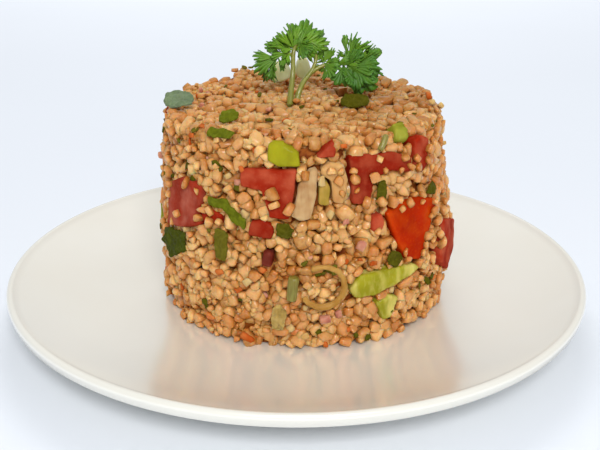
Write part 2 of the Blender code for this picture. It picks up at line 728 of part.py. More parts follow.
def make_sprig(home, seats):
    """Stems and leaflets fused into the one sprig, whose foot is pushed into the salad."""
    pieces = collection("sprig_pieces")
    for i, (centre, radius, lobes, tilt, turn) in enumerate(LEAFLETS):
        leaf = bpy.data.objects.new(f"leaflet_{i}", mesh_from(leaflet(radius, lobes), "leaflet"))
        pieces.objects.link(leaf)
        leaf.location = Vector(centre) * MM
        leaf.rotation_euler = (math.radians(tilt), 0, math.radians(turn))
        skin = leaf.modifiers.new("thickness", "SOLIDIFY")
        skin.thickness = LEAFLET_THICKNESS * MM
        skin.offset = 0
    for i, line in enumerate(SPRIG_STEMS[1:]):
        stem = bpy.data.objects.new(f"stem_{i}", tube_mesh("stem", line, STEM_RADIUS * 0.85))
        pieces.objects.link(stem)
    sprig = add_object("parsley_sprig", tube_mesh("stem", SPRIG_STEMS[0], STEM_RADIUS), "parsley", home)
    join_collection(sprig, pieces, "UNION")
    for piece in list(pieces.objects):
        bpy.data.objects.remove(piece)
    bpy.data.collections.remove(pieces)
    for i, line in enumerate(SPRIG_STEMS[:2]):
        foot = [Vector(line[0]) - Vector((0, 0, 2 * GAP)), *map(Vector, line[1:3])]
        hole = tube_mesh("sprig_hole", foot, STEM_RADIUS + 2 * GAP)
        add_cutter(f"seat_sprig_{i}", hole, seats)


def main():
    clear_scene()
    home = collection("plate_of_kisir")
    seats = collection("seats")
    make_plate(home)
    make_chunks(home, seats)
    make_side_leaves(home, seats)
    make_rods(home, seats)
    make_top_pieces(home, seats)
    make_sprig(home, seats)
    make_kisir(home, seats)


main()
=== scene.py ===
"""Dresses the plate of kisir: bulgur grains, cut vegetables and herbs, glazed plate, parsley and stage.

Sizes are in millimetres unless they say otherwise, in the frame of the solids: the plate stands on the
floor round the origin, +Z is up, and the side that is seen first faces -Y. A place on the salad is an
azimuth in degrees, 0 at the front and positive to the right, and a climb: the height up the side, which
carries on over the rounded shoulder and then in across the top.
"""

import itertools
import json
import math

import bmesh
import bpy
import numpy as np
from mathutils import Matrix, Vector, noise
from mathutils.bvhtree import BVHTree


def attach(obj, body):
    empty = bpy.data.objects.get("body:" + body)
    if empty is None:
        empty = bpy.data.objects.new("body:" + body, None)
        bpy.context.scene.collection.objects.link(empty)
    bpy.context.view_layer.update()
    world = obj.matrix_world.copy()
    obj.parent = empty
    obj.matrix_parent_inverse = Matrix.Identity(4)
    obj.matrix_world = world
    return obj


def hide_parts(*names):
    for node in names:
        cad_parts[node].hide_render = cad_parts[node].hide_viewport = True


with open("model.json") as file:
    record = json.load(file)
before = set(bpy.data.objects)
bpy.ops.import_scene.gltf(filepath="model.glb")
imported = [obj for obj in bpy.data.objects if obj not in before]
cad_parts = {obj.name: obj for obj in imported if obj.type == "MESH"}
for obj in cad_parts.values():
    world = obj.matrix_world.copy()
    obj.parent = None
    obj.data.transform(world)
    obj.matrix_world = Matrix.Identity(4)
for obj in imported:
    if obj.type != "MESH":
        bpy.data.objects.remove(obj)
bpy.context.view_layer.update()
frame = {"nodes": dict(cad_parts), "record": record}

bl_info = {
    "name": "Plate of kisir",
    "version": (1, 0, 0),
    "blender": (4, 5, 0),
    "location": "View3D > Sidebar > Kisir",
    "description": "Builds a moulded serving of kisir on its plate, over the part's solids",
    "category": "Object",
}

MM = 0.001
BODY = "root"

# The photograph's frame, and the camera that was fitted to it.
PHOTO_SIZE = (600, 450)
FOCAL_PIXELS = 933.54
SENSOR_MM = 36.0
CAMERA_PLACE = (0.878, -283.775, 139.835)
CAMERA_PITCH = 0.37712
CAMERA_ROLL = 0.002853
CAMERA_YAW = -0.000668

# The plate and the salad's bare core, as in the solids.
PLATE_RADIUS = 92.6
PLATE_HEIGHT = 14.9
LIP_WIDTH = 2.4
LIP_DEPTH = 4.2
LIP_HALF_WIDTH = 1.25
LIP_HALF_HEIGHT = 1.3
INNER_LIP_DROP = 0.7  # of the well's upper edge below the lip's top
LIP_ANGLES = (130, -30, 13)  # round the rolled lip, in degrees: the first, the last and how many
WELL_STEPS = 25  # up the well's slope
WELL_HEIGHT = 6.0
WELL_RADIUS = 50.0
WELL_RISE_POWER = 2.3
FOOT_RADIUS = 52.0
FOOT_WIDTH = 3.0
FOOT_HEIGHT = 2.2
CENTRE = (2.0, 0.0)
BASE_HEIGHT = 6.35
TOP_HEIGHT = 70.0
RADIUS = 45.4
BASE_NARROWING = 0.3
BASE_NARROW_BELOW = 20.0
TOP_NARROWING = 2.3
TOP_NARROW_ABOVE = 30.0
SHOULDER = 4.5
BULGE = 2.8
BULGE_HEIGHT = 27.0
BULGE_SPREAD = 15.0
SHOULDER_CLIMB = TOP_HEIGHT - SHOULDER
TOP_CLIMB = SHOULDER_CLIMB + SHOULDER * math.pi / 2
TOP_RADIUS = RADIUS - TOP_NARROWING - SHOULDER
TOP_LUMPS = (
    (-23, 33, 2.4, 9),
    (29, 31, 2.2, 9),
    (41, 12, 1.2, 6),
    (-6, -28, -0.8, 14),
    (14, 8, 0.8, 8),
)

# The depths between which a ray through a pixel is followed to the salad, and at how many points.
RAY_DEPTHS = (-RADIUS - 6.0, RADIUS)
RAY_POINTS = 900


def linear(red, green, blue):
    """A displayed colour of 0 to 255 as a shader's linear one."""
    return tuple(((c / 255 + 0.055) / 1.055) ** 2.4 for c in (red, green, blue))


def colour_choice(name, description, default):
    """A property that holds one finish's colour, given as it is displayed."""
    return bpy.props.FloatVectorProperty(
        name=name, description=description, default=linear(*default), size=3, min=0, max=1, subtype="COLOR"
    )


def length_choice(name, description, default, shortest, longest):
    """A property that holds a length in metres."""
    return bpy.props.FloatProperty(
        name=name, description=description, default=default, min=shortest, max=longest, unit="LENGTH"
    )


# What a user would change


class PlateSettings(bpy.types.PropertyGroup):
    """The plate's fineness and glaze."""

    steps: bpy.props.IntProperty(
        name="Steps", description="Faces round the plate", default=240, min=24, max=512
    )
    glaze: colour_choice("Glaze", "The glaze's colour", (235, 231, 217))
    gloss: bpy.props.FloatProperty(
        name="Roughness", description="How dull the glaze is", default=0.32, min=0, max=1, subtype="FACTOR"
    )


class GrainSettings(bpy.types.PropertyGroup):
    """The bulgur's grains and their colours."""

    seed: bpy.props.IntProperty(name="Seed", description="Which heap of grains is laid", default=11, min=0)
    unevenness: length_choice("Unevenness", "How far grains lie behind the mould's wall", 0.0028, 0, 0.004)
    pale: colour_choice("Pale", "The palest grains", (226, 182, 119))
    deep: colour_choice("Deep", "The darkest grains", (170, 114, 50))
    rosy: colour_choice("Rosy", "Grains with a pink tinge", (226, 158, 112))
    # Painted light and shade: the amber that light coming through the grains' thin sides gives, darker than
    # their faces.
    rim: colour_choice("Rim", "The thin sides of grains, where light comes through", (188, 116, 40))
    stained: colour_choice("Stained", "Grains soaked in tomato", (190, 104, 40))
    # Painted shade where grains meet, with a little tomato stain in its tint.
    crevice_shade: colour_choice("Crevices", "Where grains meet", (116, 58, 4))
    # Painted shade: the paste behind the grains is coloured dark like the shade in the gaps between them.
    paste_and_gap_shade: colour_choice("Gaps", "The paste behind the grains", (104, 42, 6))


class VegetableSettings(bpy.types.PropertyGroup):
    """The fineness and colours of the cut vegetables."""

    voxel: length_choice("Fineness", "Size of the faces that round a cut piece", 0.0004, 0.0002, 0.002)
    tomato: colour_choice("Tomato", "Cut tomato", (150, 36, 14))
    tomato_pale: colour_choice("Tomato, pale", "Tomato flesh near the skin", (186, 88, 58))
    ripe: colour_choice("Ripe tomato", "The brightest tomato", (174, 38, 0))
    cucumber: colour_choice("Cucumber", "Cucumber skin side", (154, 148, 28))
    cucumber_pale: colour_choice("Cucumber, pale", "Cucumber flesh", (222, 204, 116))
    pepper: colour_choice("Pepper", "Green pepper", (124, 126, 24))
    onion: colour_choice("Onion", "Onion flesh", (204, 168, 112))
    onion_skin: colour_choice("Red onion", "Purple onion skin", (92, 20, 10))


class HerbSettings(bpy.types.PropertyGroup):
    """The herbs and crumbs in the salad."""

    crumb_seed: bpy.props.IntProperty(
        name="Crumbs", description="Which scatter of crumbs", default=5, min=0
    )
    leaf: colour_choice("Leaf", "Chopped parsley", (84, 80, 14))
    leaf_olive: colour_choice("Olive leaf", "Leaves that the dressing has dulled", (104, 96, 26))
    leaf_blue: colour_choice("Blue leaf", "The blue-green leaf on top", (112, 128, 96))
    spring_onion: colour_choice("Spring onion", "Cut spring onion", (100, 106, 20))
    stalk: colour_choice("Stalk", "Cut stalks in the salad", (122, 108, 34))


class SprigSettings(bpy.types.PropertyGroup):
    """The fresh sprig on top."""

    green: colour_choice("Green", "The blades in the light", (112, 150, 34))
    deep: colour_choice("Deep green", "The blades in the shade", (62, 105, 33))
    stem: colour_choice("Stem", "The stems", (130, 130, 42))
    thickness: length_choice("Thickness", "Thickness of the blades", 0.00028, 0.0001, 0.001)


class StageSettings(bpy.types.PropertyGroup):
    """The floor and the light."""

    floor: colour_choice("Floor", "The floor's colour", (226, 230, 236))
    sky: bpy.props.FloatProperty(
        name="Surround", description="Strength of the light all round", default=0.6, min=0
    )
    key: bpy.props.FloatProperty(
        name="Key light", description="Power of the large soft light", default=1.65, min=0, unit="POWER"
    )


# Materials


class Socket:
    """The output of a node, on which arithmetic adds Math nodes."""

    def __init__(self, finish, output):
        self.finish = finish
        self.output = output

    def math(self, operation, first, second):
        return self.finish.node("Math", {"operation": operation}, {0: first, 1: second})

    def __add__(self, other):
        return self.math("ADD", self, other)

    __radd__ = __add__

    def __sub__(self, other):
        return self.math("SUBTRACT", self, other)

    def __rsub__(self, other):
        return self.math("SUBTRACT", other, self)

    def __mul__(self, other):
        return self.math("MULTIPLY", self, other)

    __rmul__ = __mul__


class Finish:
    """A material being made: its Principled shader, and the nodes that feed it."""

    def __init__(self, name, constants):
        self.material = bpy.data.materials.new(name)
        self.material.use_nodes = True
        self.tree = self.material.node_tree
        self.shader = self.tree.nodes["Principled BSDF"]
        for socket, value in constants.items():
            self.shader.inputs[socket].default_value = value

    def node(self, kind, settings=(), values=(), output=0):
        """Adds a node: its settings first, then the values or links of its sockets."""
        made = self.tree.nodes.new("ShaderNode" + kind)
        for name, value in dict(settings).items():
            setattr(made, name, value)
        for name, value in dict(values).items():
            self.feed(made.inputs[name], value)
        return Socket(self, made.outputs[output])

    def feed(self, socket, value):
        """Links a varying value to a socket, or sets a fixed one."""
        if isinstance(value, Socket):
            self.tree.links.new(value.output, socket)
        elif socket.type == "RGBA":
            socket.default_value = (*value[:3], 1)
        else:
            socket.default_value = value

    def mix(self, share, first, second):
        """Two colours mixed by a share of the second."""
        colour, amount, one, other = 2, 0, 6, 7
        settings = {"data_type": "RGBA", "clamp_factor": True}
        return self.node("Mix", settings, {amount: share, one: first, other: second}, colour)

    def scaled(self, colour, brightness):
        """A varying colour made darker or lighter by a number."""
        return self.node("VectorMath", {"operation": "MULTIPLY"}, {0: colour, 1: (brightness,) * 3})

    def place(self):
        """The place in the object's own coordinates."""
        return self.node("TexCoord", output="Object")

    def along(self, axis):
        """The place along x, y or z, in metres."""
        return self.node("SeparateXYZ", {}, {0: self.place()}, axis)

    def noise(self, size_mm, detail=2.0, stretch=(1, 1, 1)):
        """A cloudy value of about 0.3 to 0.7 whose patches have this size."""
        at = self.node("Mapping", {}, {"Vector": self.place(), "Scale": stretch})
        return self.node("TexNoise", {}, {"Vector": at, "Scale": 1 / (size_mm * MM), "Detail": detail})

    def spread(self, value, low, high):
        """A value stretched from low..high to 0..1 and clamped."""
        values = {"Value": value, "From Min": low, "From Max": high}
        return self.node("MapRange", {"clamp": True}, values)

    def patches(self, size_mm, low=0.35, high=0.65, detail=2.0, stretch=(1, 1, 1)):
        """Clouds of this size: 0 where their value is low or less, and 1 where it is high or more."""
        return self.spread(self.noise(size_mm, detail, stretch), low, high)

    def attribute(self, name, channel):
        """A channel of the colour that a mesh carries: 0 is red, 1 green, 2 blue."""
        carried = self.node("Attribute", {"attribute_name": name})
        return self.node("SeparateColor", {}, {0: carried}, channel)

    def bump(self, height, depth_mm, strength=1.0):
        """The normal of a surface that a varying height lifts by up to a depth."""
        values = {"Height": height, "Distance": depth_mm * MM, "Strength": strength}
        return self.node("Bump", {}, values)

    def dents(self, size_mm, depth_mm, strength=1.0, detail=2.0, stretch=(1, 1, 1)):
        """A bump of cloudy dents of this size and depth."""
        return self.bump(self.noise(size_mm, detail, stretch), depth_mm, strength)

    def done(self, **varying):
        """Feeds the shader's own sockets and returns the material."""
        for name, value in varying.items():
            self.feed(self.shader.inputs[name.replace("_", " ").title()], value)
        return self.material


WET = {"Coat Weight": 0.06, "Coat Roughness": 0.12, "Specular IOR Level": 0.0}


def dimmed(colour, share):
    """A fixed colour with this share of its brightness."""
    return tuple(channel * share for channel in colour)


def flesh(radius, weight, scale_mm):
    """Shader constants for something that light enters."""
    return {
        "Subsurface Weight": weight,
        "Subsurface Radius": radius,
        "Subsurface Scale": scale_mm * MM,
    }


def glaze_material(settings):
    """Cream glaze: a mirror-like coat over a duller ground."""
    coat = {"Coat Weight": 1.0, "Coat IOR": 3.2, "Coat Roughness": 0.2}
    finish = Finish("cream_glaze", {**coat, "IOR": 1.5})
    cloud = finish.patches(28)
    dulled = finish.patches(9, 0.4, 0.7)
    return finish.done(
        base_color=finish.mix(cloud * 0.5, settings.glaze, linear(231, 225, 208)),
        roughness=dulled * 0.04 + (settings.gloss - 0.03),
        normal=finish.dents(14, 0.05, 0.3, detail=1),
    )


def bulgur_material(settings, name="bulgur_grain", brightness=1.0):
    """Moist grain: its own tone, stains of tomato, painted shade that makes the top duller and darker, more
    so on the right, and painted light and shade on the sides that turn away, amber, deepening into painted
    shade where grains meet. A brightness below 1 makes a darker copy, painted shade for grains that lie
    behind.
    """
    constants = {"Specular IOR Level": 0.1, "Coat Roughness": 0.12}
    finish = Finish(name, {**constants, **flesh((1.0, 0.5, 0.2), 0.85, 2.0)})
    tone_and_shade, stain, crevice_shade = (finish.attribute("grain", channel) for channel in range(3))
    mottle = finish.patches(1.3)
    grain = finish.mix(tone_and_shade * 0.8 + mottle * 0.25, settings.deep, settings.pale)
    blush = finish.patches(3.6, 0.48, 0.62, detail=1)
    rosy = finish.mix(blush * 0.14, grain, settings.rosy)
    soaked = finish.mix(stain, rosy, settings.stained)
    fleck = finish.patches(0.5, 0.62, 0.7, detail=1)
    branny = finish.mix(fleck * 0.15, soaked, linear(136, 76, 30))
    # Painted shade: the top is coloured duller and darker, and more so to the right.
    on_top = finish.spread(finish.along(2), (TOP_HEIGHT - 3) * MM, (TOP_HEIGHT + 3) * MM)
    to_the_right = finish.spread(finish.along(0), 0, 0.03)
    top_shade_colour = finish.mix(to_the_right, linear(156, 120, 76), linear(106, 78, 44))
    top_shaded = finish.mix(on_top * (to_the_right * 0.24 + 0.58), branny, top_shade_colour)
    # Painted light and shade: amber where light comes through the sides that turn away, then deep painted
    # shade where grains meet.
    rim_glow_and_shade = finish.mix(finish.spread(crevice_shade, 0.15, 0.6) * 0.5, top_shaded, settings.rim)
    crevice_shaded = finish.mix(finish.spread(crevice_shade, 0.5, 0.95) * 0.46, rim_glow_and_shade, settings.crevice_shade)
    return finish.done(
        base_color=finish.scaled(crevice_shaded, brightness),
        roughness=tone_and_shade * 0.15 + 0.35,
        coat_weight=(1 - crevice_shade) * (0.55 * brightness),
        normal=finish.dents(0.8, 0.07, 0.5),
    )


def paste_and_shade_material(settings):
    """The dark red paste that shows between the grains, its dark colour partly painted shade in the gaps.
    """
    finish = Finish("tomato_paste", {"Specular IOR Level": 0.1})
    cloud = finish.patches(2.2)
    return finish.done(
        base_color=finish.mix(cloud, settings.paste_and_gap_shade, linear(152, 82, 28)),
        roughness=0.35 + cloud * 0.3,
        normal=finish.dents(0.9, 0.4),
    )


def flesh_material(name, deep, pale, streaks=(1, 1, 1), patch_mm=6.0, paleness_and_shade=0.7, wetness=0.06):
    """Wet vegetable flesh: two colours in soft patches, fibres along one way, and a wet coat."""
    finish = Finish(name, {**WET, "Coat Weight": wetness, **flesh((1.0, 0.35, 0.2), 0.2, 2.0)})
    patch = finish.patches(patch_mm, 0.42, 0.66, stretch=streaks)
    fibre = finish.patches(0.8, 0.5, 0.72, stretch=streaks)
    thick = finish.patches(patch_mm * 1.7, 0.4, 0.62, detail=1)
    shade = finish.mix(thick * 0.5, deep, dimmed(deep, 0.6))
    return finish.done(
        base_color=finish.mix(patch * paleness_and_shade + fibre * 0.16, shade, pale),
        roughness=0.13 + patch * 0.12,
        normal=finish.dents(2.2, 0.2, 0.4, stretch=streaks),
    )


def onion_material(name, pale, tinge):
    """Translucent onion with fine upright fibres."""
    constants = {**WET, "IOR": 1.4, "Transmission Weight": 0.12, **flesh((1.0, 0.85, 0.55), 0.7, 2.0)}
    finish = Finish(name, constants)
    fibre = finish.patches(0.9, 0.45, 0.7, stretch=(1, 1, 0.15))
    patch = finish.patches(5, 0.4, 0.65)
    return finish.done(
        base_color=finish.mix(patch * 0.7 + fibre * 0.22, pale, tinge),
        roughness=0.3 + fibre * 0.14,
        normal=finish.dents(1.5, 0.12, 0.4),
    )


def leaf_material(name, green, vein):
    """A leaf: veins as a fine net of cells, patches of deeper green."""
    finish = Finish(name, {**flesh((0.8, 1.0, 0.2), 0.15, 0.6), "Specular IOR Level": 0.02})
    at = {"Vector": finish.place(), "Scale": 1 / (2.4 * MM)}
    cells = finish.node("TexVoronoi", {"feature": "DISTANCE_TO_EDGE"}, at)
    net = 1 - finish.spread(cells, 0.02, 0.1)
    patch = finish.patches(2.6, 0.35, 0.68)
    shade = finish.mix(patch, dimmed(green, 0.72), green)
    return finish.done(
        base_color=finish.mix(net * 0.14, shade, vein),
        roughness=0.42 + patch * 0.14,
        normal=finish.dents(1.6, 0.2, 0.5),
    )


def sprig_material(settings):
    """Fresh curly parsley: a tone for each lobe, from green in the light to deep green in the shade, which
    is painted light and shade, pale veins and a deeper frilled edge.
    """
    finish = Finish("fresh_parsley", {**flesh((0.4, 1.0, 0.15), 0.2, 0.8), "Specular IOR Level": 0.3})
    shade_and_age, vein, edge = (finish.attribute("blade", channel) for channel in range(3))
    patch = finish.patches(2.2)
    green = finish.mix(shade_and_age * 0.85 + patch * 0.2, settings.green, settings.deep)
    veined = finish.mix(vein * 0.1, green, linear(150, 186, 84))
    return finish.done(
        base_color=finish.mix(edge * 0.35, veined, linear(60, 118, 36)),
        roughness=0.38 + patch * 0.14,
        normal=finish.dents(0.7, 0.12, 0.5),
    )


def stem_material(name, colour):
    """A juicy stem: pale ribs along its length, and cloudy patches of deeper green."""
    finish = Finish(name, {**flesh((0.6, 1.0, 0.3), 0.25, 1.0), "Coat Weight": 0.15})
    ribs = finish.patches(0.5, 0.4, 0.65, detail=1, stretch=(1, 1, 0.08))
    cloud = finish.patches(5)
    shade = finish.mix(cloud * 0.6, colour, dimmed(colour, 0.7))
    return finish.done(
        base_color=finish.mix(ribs * 0.3, shade, linear(160, 162, 78)),
        roughness=0.3 + ribs * 0.15,
        normal=finish.bump(ribs, 0.08, 0.6),
    )


def floor_material(colour):
    """A matte floor that is hardly uneven in tone."""
    finish = Finish("pale_floor", {"Roughness": 0.7, "Specular IOR Level": 0.3})
    cloud = finish.patches(160, 0.3, 0.7, detail=1)
    return finish.done(base_color=finish.mix(cloud * 0.25, colour, dimmed(colour, 0.96)))


def vegetable_materials(look):
    """The cut pieces' materials, by slot or by the name of a piece that has its own."""
    upright = (1, 1, 0.35)
    deep_tomato = flesh_material("deep_tomato", linear(138, 31, 12), linear(168, 76, 48))
    # The onion on top is pale, and its colour is made paler still as painted light against the shade of the
    # leaves over it.
    pale_onion = onion_material("pale_onion", linear(244, 246, 196), linear(222, 224, 160))
    return {
        "tomato": flesh_material("tomato_flesh", look.tomato, look.tomato_pale),
        "tomato_ripe": flesh_material("ripe_tomato", look.ripe, linear(206, 86, 16), paleness_and_shade=0.35),
        "tomato_left": flesh_material("pink_tomato", linear(152, 50, 30), linear(176, 98, 78)),
        "tomato_right": deep_tomato,
        "tomato_centre_low": deep_tomato,
        "cucumber": flesh_material(
            "cucumber_flesh", look.cucumber, look.cucumber_pale, upright, 4, 0.6, 0.3
        ),
        "cucumber_top": flesh_material(
            "cucumber_skin", look.cucumber, linear(160, 156, 30), upright, 4, 0.5
        ),
        "pepper": flesh_material("pepper_flesh", look.pepper, linear(160, 158, 60), upright, 4),
        "onion": onion_material("onion_flesh", look.onion, linear(198, 142, 84)),
        "onion_beige": onion_material("beige_onion", linear(216, 168, 106), linear(192, 136, 80)),
        "onion_petal": onion_material("petal_onion", linear(206, 172, 124), linear(164, 114, 66)),
        "onion_green": onion_material("green_onion", linear(186, 150, 72), linear(152, 128, 38)),
        "onion_ring": onion_material("yellow_onion", linear(190, 146, 76), linear(160, 114, 48)),
        "onion_purple": onion_material("red_onion", look.onion_skin, linear(124, 54, 40)),
        "onion_top_left": pale_onion,
        "onion_top_right": pale_onion,
    }


def herb_materials(look):
    """The leaves' and stalks' materials, by slot or by the name of a piece that has its own."""
    stalk = stem_material("cut_stalk", look.stalk)
    return {
        "parsley": leaf_material("chopped_parsley", look.leaf, linear(114, 106, 40)),
        "leaf_olive": leaf_material("olive_leaf", look.leaf_olive, linear(136, 128, 52)),
        "leaf_blue": leaf_material("blue_leaf", look.leaf_blue, linear(162, 170, 134)),
        "leaf_left": leaf_material("dark_leaf", linear(70, 76, 16), linear(104, 112, 58)),
        "leaf_base": onion_material("pale_stalk", linear(184, 156, 92), linear(150, 122, 56)),
        "spring_onion": leaf_material("spring_onion_leaf", look.spring_onion, linear(134, 140, 46)),
        "stem_shoulder": stalk,
        "spring_onion_tube": stalk,
    }


def crumb_materials(herbs):
    """The crumbs' materials and slots, by kind."""
    onion = onion_material("onion_crumb", linear(206, 176, 120), linear(196, 150, 84))
    mauve = onion_material("red_onion_crumb", linear(206, 146, 118), linear(166, 92, 78))
    orange = flesh_material("tomato_crumb", linear(180, 80, 26), linear(206, 126, 66))
    return {
        "herb": (herbs["parsley"], "parsley"),
        "olive": (herbs["leaf_olive"], "leaf_olive"),
        "onion": (onion, "onion"),
        "mauve": (mauve, "onion_purple"),
        "orange": (orange, "tomato_ripe"),
    }


# Places


def side_radius(azimuth, height):
    """The bare core's radius at a height on its side: narrower at both ends, fuller low on the right."""
    above = np.maximum(0, height - TOP_NARROW_ABOVE) / (SHOULDER_CLIMB - TOP_NARROW_ABOVE)
    below = np.maximum(0, BASE_NARROW_BELOW - height) / (BASE_NARROW_BELOW - BASE_HEIGHT)
    right = np.maximum(0, np.sin(np.radians(azimuth))) ** 2
    bulge = BULGE * right * np.exp(-(((height - BULGE_HEIGHT) / BULGE_SPREAD) ** 2))
    return RADIUS - TOP_NARROWING * above**1.5 - BASE_NARROWING * below**2 + bulge


def top_swell(x, y):
    """How far the uneven top rises above its mean height, from the salad's own centre."""
    rise = sum(h * np.exp(-((x - cx) ** 2 + (y - cy) ** 2) / w**2) for cx, cy, h, w in TOP_LUMPS)
    return rise + 0.4 * np.sin(0.21 * x + 1) * np.cos(0.17 * y)


def slope(climb):
    """How far the surface has turned at a climb, in radians: 0 up the side, a right angle on the top."""
    return np.clip((climb - SHOULDER_CLIMB) / SHOULDER, 0, math.pi / 2)


def place(azimuth, climb, out=0.0):
    """Points a distance out from the bare core, at azimuths and climbs, as an array of x, y, z."""
    azimuth, climb, out = (np.asarray(v, float) for v in (azimuth, climb, out))
    turned = slope(climb)
    shoulder = side_radius(azimuth, SHOULDER_CLIMB) - SHOULDER
    over = shoulder + (SHOULDER + out) * np.cos(turned) - np.maximum(climb - TOP_CLIMB, 0)
    radius = np.where(climb <= SHOULDER_CLIMB, side_radius(azimuth, climb) + out, over)
    rise = SHOULDER_CLIMB + (SHOULDER + out) * np.sin(turned)
    height = np.where(climb <= SHOULDER_CLIMB, climb, rise)
    x, y = radius * np.sin(np.radians(azimuth)), -radius * np.cos(np.radians(azimuth))
    height = height + np.sin(turned) ** 4 * top_swell(x, y)
    return np.stack([CENTRE[0] + x, CENTRE[1] + y, height], -1)


def outward(azimuth, climb):
    """Unit vectors out of the surface at azimuths and climbs."""
    angle, turned = np.radians(azimuth), slope(climb)
    flat = np.cos(turned)
    return np.stack([np.sin(angle) * flat, -np.cos(angle) * flat, np.sin(turned)], -1)


def camera_axes():
    """The camera's right, up and forward directions."""
    cos_yaw, sin_yaw = math.cos(CAMERA_YAW), math.sin(CAMERA_YAW)
    cos_pitch, sin_pitch = math.cos(CAMERA_PITCH), math.sin(CAMERA_PITCH)
    level = Vector((cos_yaw, sin_yaw, 0))
    forward = Vector((-sin_yaw * cos_pitch, cos_yaw * cos_pitch, -sin_pitch))
    upright = Vector((-sin_yaw * sin_pitch, cos_yaw * sin_pitch, cos_pitch))
    cos_roll, sin_roll = math.cos(CAMERA_ROLL), math.sin(CAMERA_ROLL)
    return level * cos_roll + upright * sin_roll, upright * cos_roll - level * sin_roll, forward


def clouds(points, size, shift=(0, 0, 0)):
    """Smooth random values of about -0.6 to 0.6 at points, in patches of this size."""
    return np.array([noise.noise(Vector(point) / size + Vector(shift)) for point in points])


def seen(pixel, depth):
    """The point behind a pixel of the photograph that lies in the upright plane y = depth."""
    right, up, forward = camera_axes()
    across, down = pixel[0] - PHOTO_SIZE[0] / 2, pixel[1] - PHOTO_SIZE[1] / 2
    ray = forward * FOCAL_PIXELS + right * across - up * down
    return Vector(CAMERA_PLACE) + ray * ((depth - CAMERA_PLACE[1]) / ray.y)


def under(pixel):
    """The azimuth and climb of the bare core's surface behind a pixel of the photograph."""
    ray = np.array([seen(pixel, depth) for depth in np.linspace(*RAY_DEPTHS, RAY_POINTS)])
    x, y, height = ray[:, 0] - CENTRE[0], ray[:, 1] - CENTRE[1], ray[:, 2]
    radius, azimuth = np.hypot(x, y), np.degrees(np.arctan2(x, -y))
    shoulder = side_radius(azimuth, SHOULDER_CLIMB) - SHOULDER
    over = height - SHOULDER_CLIMB
    round_edge = np.where(over > 0, shoulder + np.sqrt(np.maximum(SHOULDER**2 - over**2, 0)), np.inf)
    inside = (radius < np.minimum(side_radius(azimuth, height), round_edge)) & (over < SHOULDER)
    if not inside.any():
        raise ValueError(f"no salad behind pixel {pixel}")
    i = int(np.argmax(inside))
    if over[i] <= 0:
        return azimuth[i], height[i]
    if radius[i] > shoulder[i]:
        return azimuth[i], SHOULDER_CLIMB + SHOULDER * math.atan2(over[i], radius[i] - shoulder[i])
    return azimuth[i], TOP_CLIMB + shoulder[i] - radius[i]


# Meshes


def placed(name, data):
    """A new object in the scene that holds this mesh, light or camera."""
    thing = bpy.data.objects.new(name, data)
    bpy.context.scene.collection.objects.link(thing)
    return thing


def add_piece(name, mesh, material, slot, *nodes):
    """Puts a mesh in the scene as a piece of the object, in place of the named solids."""
    piece = placed(name, mesh)
    mesh.materials.clear()
    mesh.materials.append(material)
    mesh.shade_smooth()
    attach(piece, BODY)
    if nodes:
        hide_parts(*nodes)


def array_mesh(name, points, triangles):
    """A mesh from arrays of points in millimetres and triangles."""
    mesh = bpy.data.meshes.new(name)
    mesh.vertices.add(len(points))
    mesh.vertices.foreach_set("co", (points * MM).astype(np.float32).ravel())
    mesh.loops.add(triangles.size)
    mesh.loops.foreach_set("vertex_index", triangles.astype(np.int32).ravel())
    mesh.polygons.add(len(triangles))
    mesh.polygons.foreach_set("loop_start", np.arange(0, triangles.size, 3, dtype=np.int32))
    mesh.update(calc_edges=True)
    return mesh


def paint(mesh, name, colours):
    """Gives the mesh's points three carried values each, of 0 to 1."""
    carried = mesh.attributes.new(name, "FLOAT_COLOR", "POINT")
    filled = np.ones((len(colours), 4), np.float32)
    filled[:, :3] = colours
    carried.data.foreach_set("color", filled.ravel())


def evaluated(thing):
    """The mesh that an object's modifiers make, after which the object is removed."""
    bpy.context.scene.collection.objects.link(thing)
    graph = bpy.context.evaluated_depsgraph_get()
    mesh = bpy.data.meshes.new_from_object(thing.evaluated_get(graph))
    bpy.data.objects.remove(thing)
    return mesh


def welded_copy(node):
    """A copy of a solid's mesh with its split corners joined."""
    bm = bmesh.new()
    bm.from_mesh(frame["nodes"][node].data)
    bmesh.ops.remove_doubles(bm, verts=bm.verts, dist=1e-6)
    mesh = bpy.data.meshes.new(node)
    bm.to_mesh(mesh)
    bm.free()
    return mesh


def ripple(mesh, size_mm, height_mm, offset, swell_mm=0.0):
    """Moves a mesh's points along their normals by a cloudy amount, and all of them out by a swell."""
    for vert, normal in zip(mesh.vertices, [n.vector.copy() for n in mesh.vertex_normals]):
        at = vert.co / (size_mm * MM) + Vector((offset, offset, offset))
        vert.co += normal * (noise.noise(at) * height_mm + swell_mm) * MM
    mesh.update()


def grid_triangles(rows, columns, closed=False):
    """Triangles of a grid of points, row by row, whose columns may run round to the first."""
    across = np.arange(columns if closed else columns - 1)
    beside = (across + 1) % columns
    lower = (np.arange(rows - 1) * columns)[:, None]
    a, b, c, d = lower + across, lower + beside, lower + columns + beside, lower + columns + across
    both = np.stack([np.stack([a, b, c], -1), np.stack([a, c, d], -1)], 2)
    return both.reshape(-1, 3)


# The plate


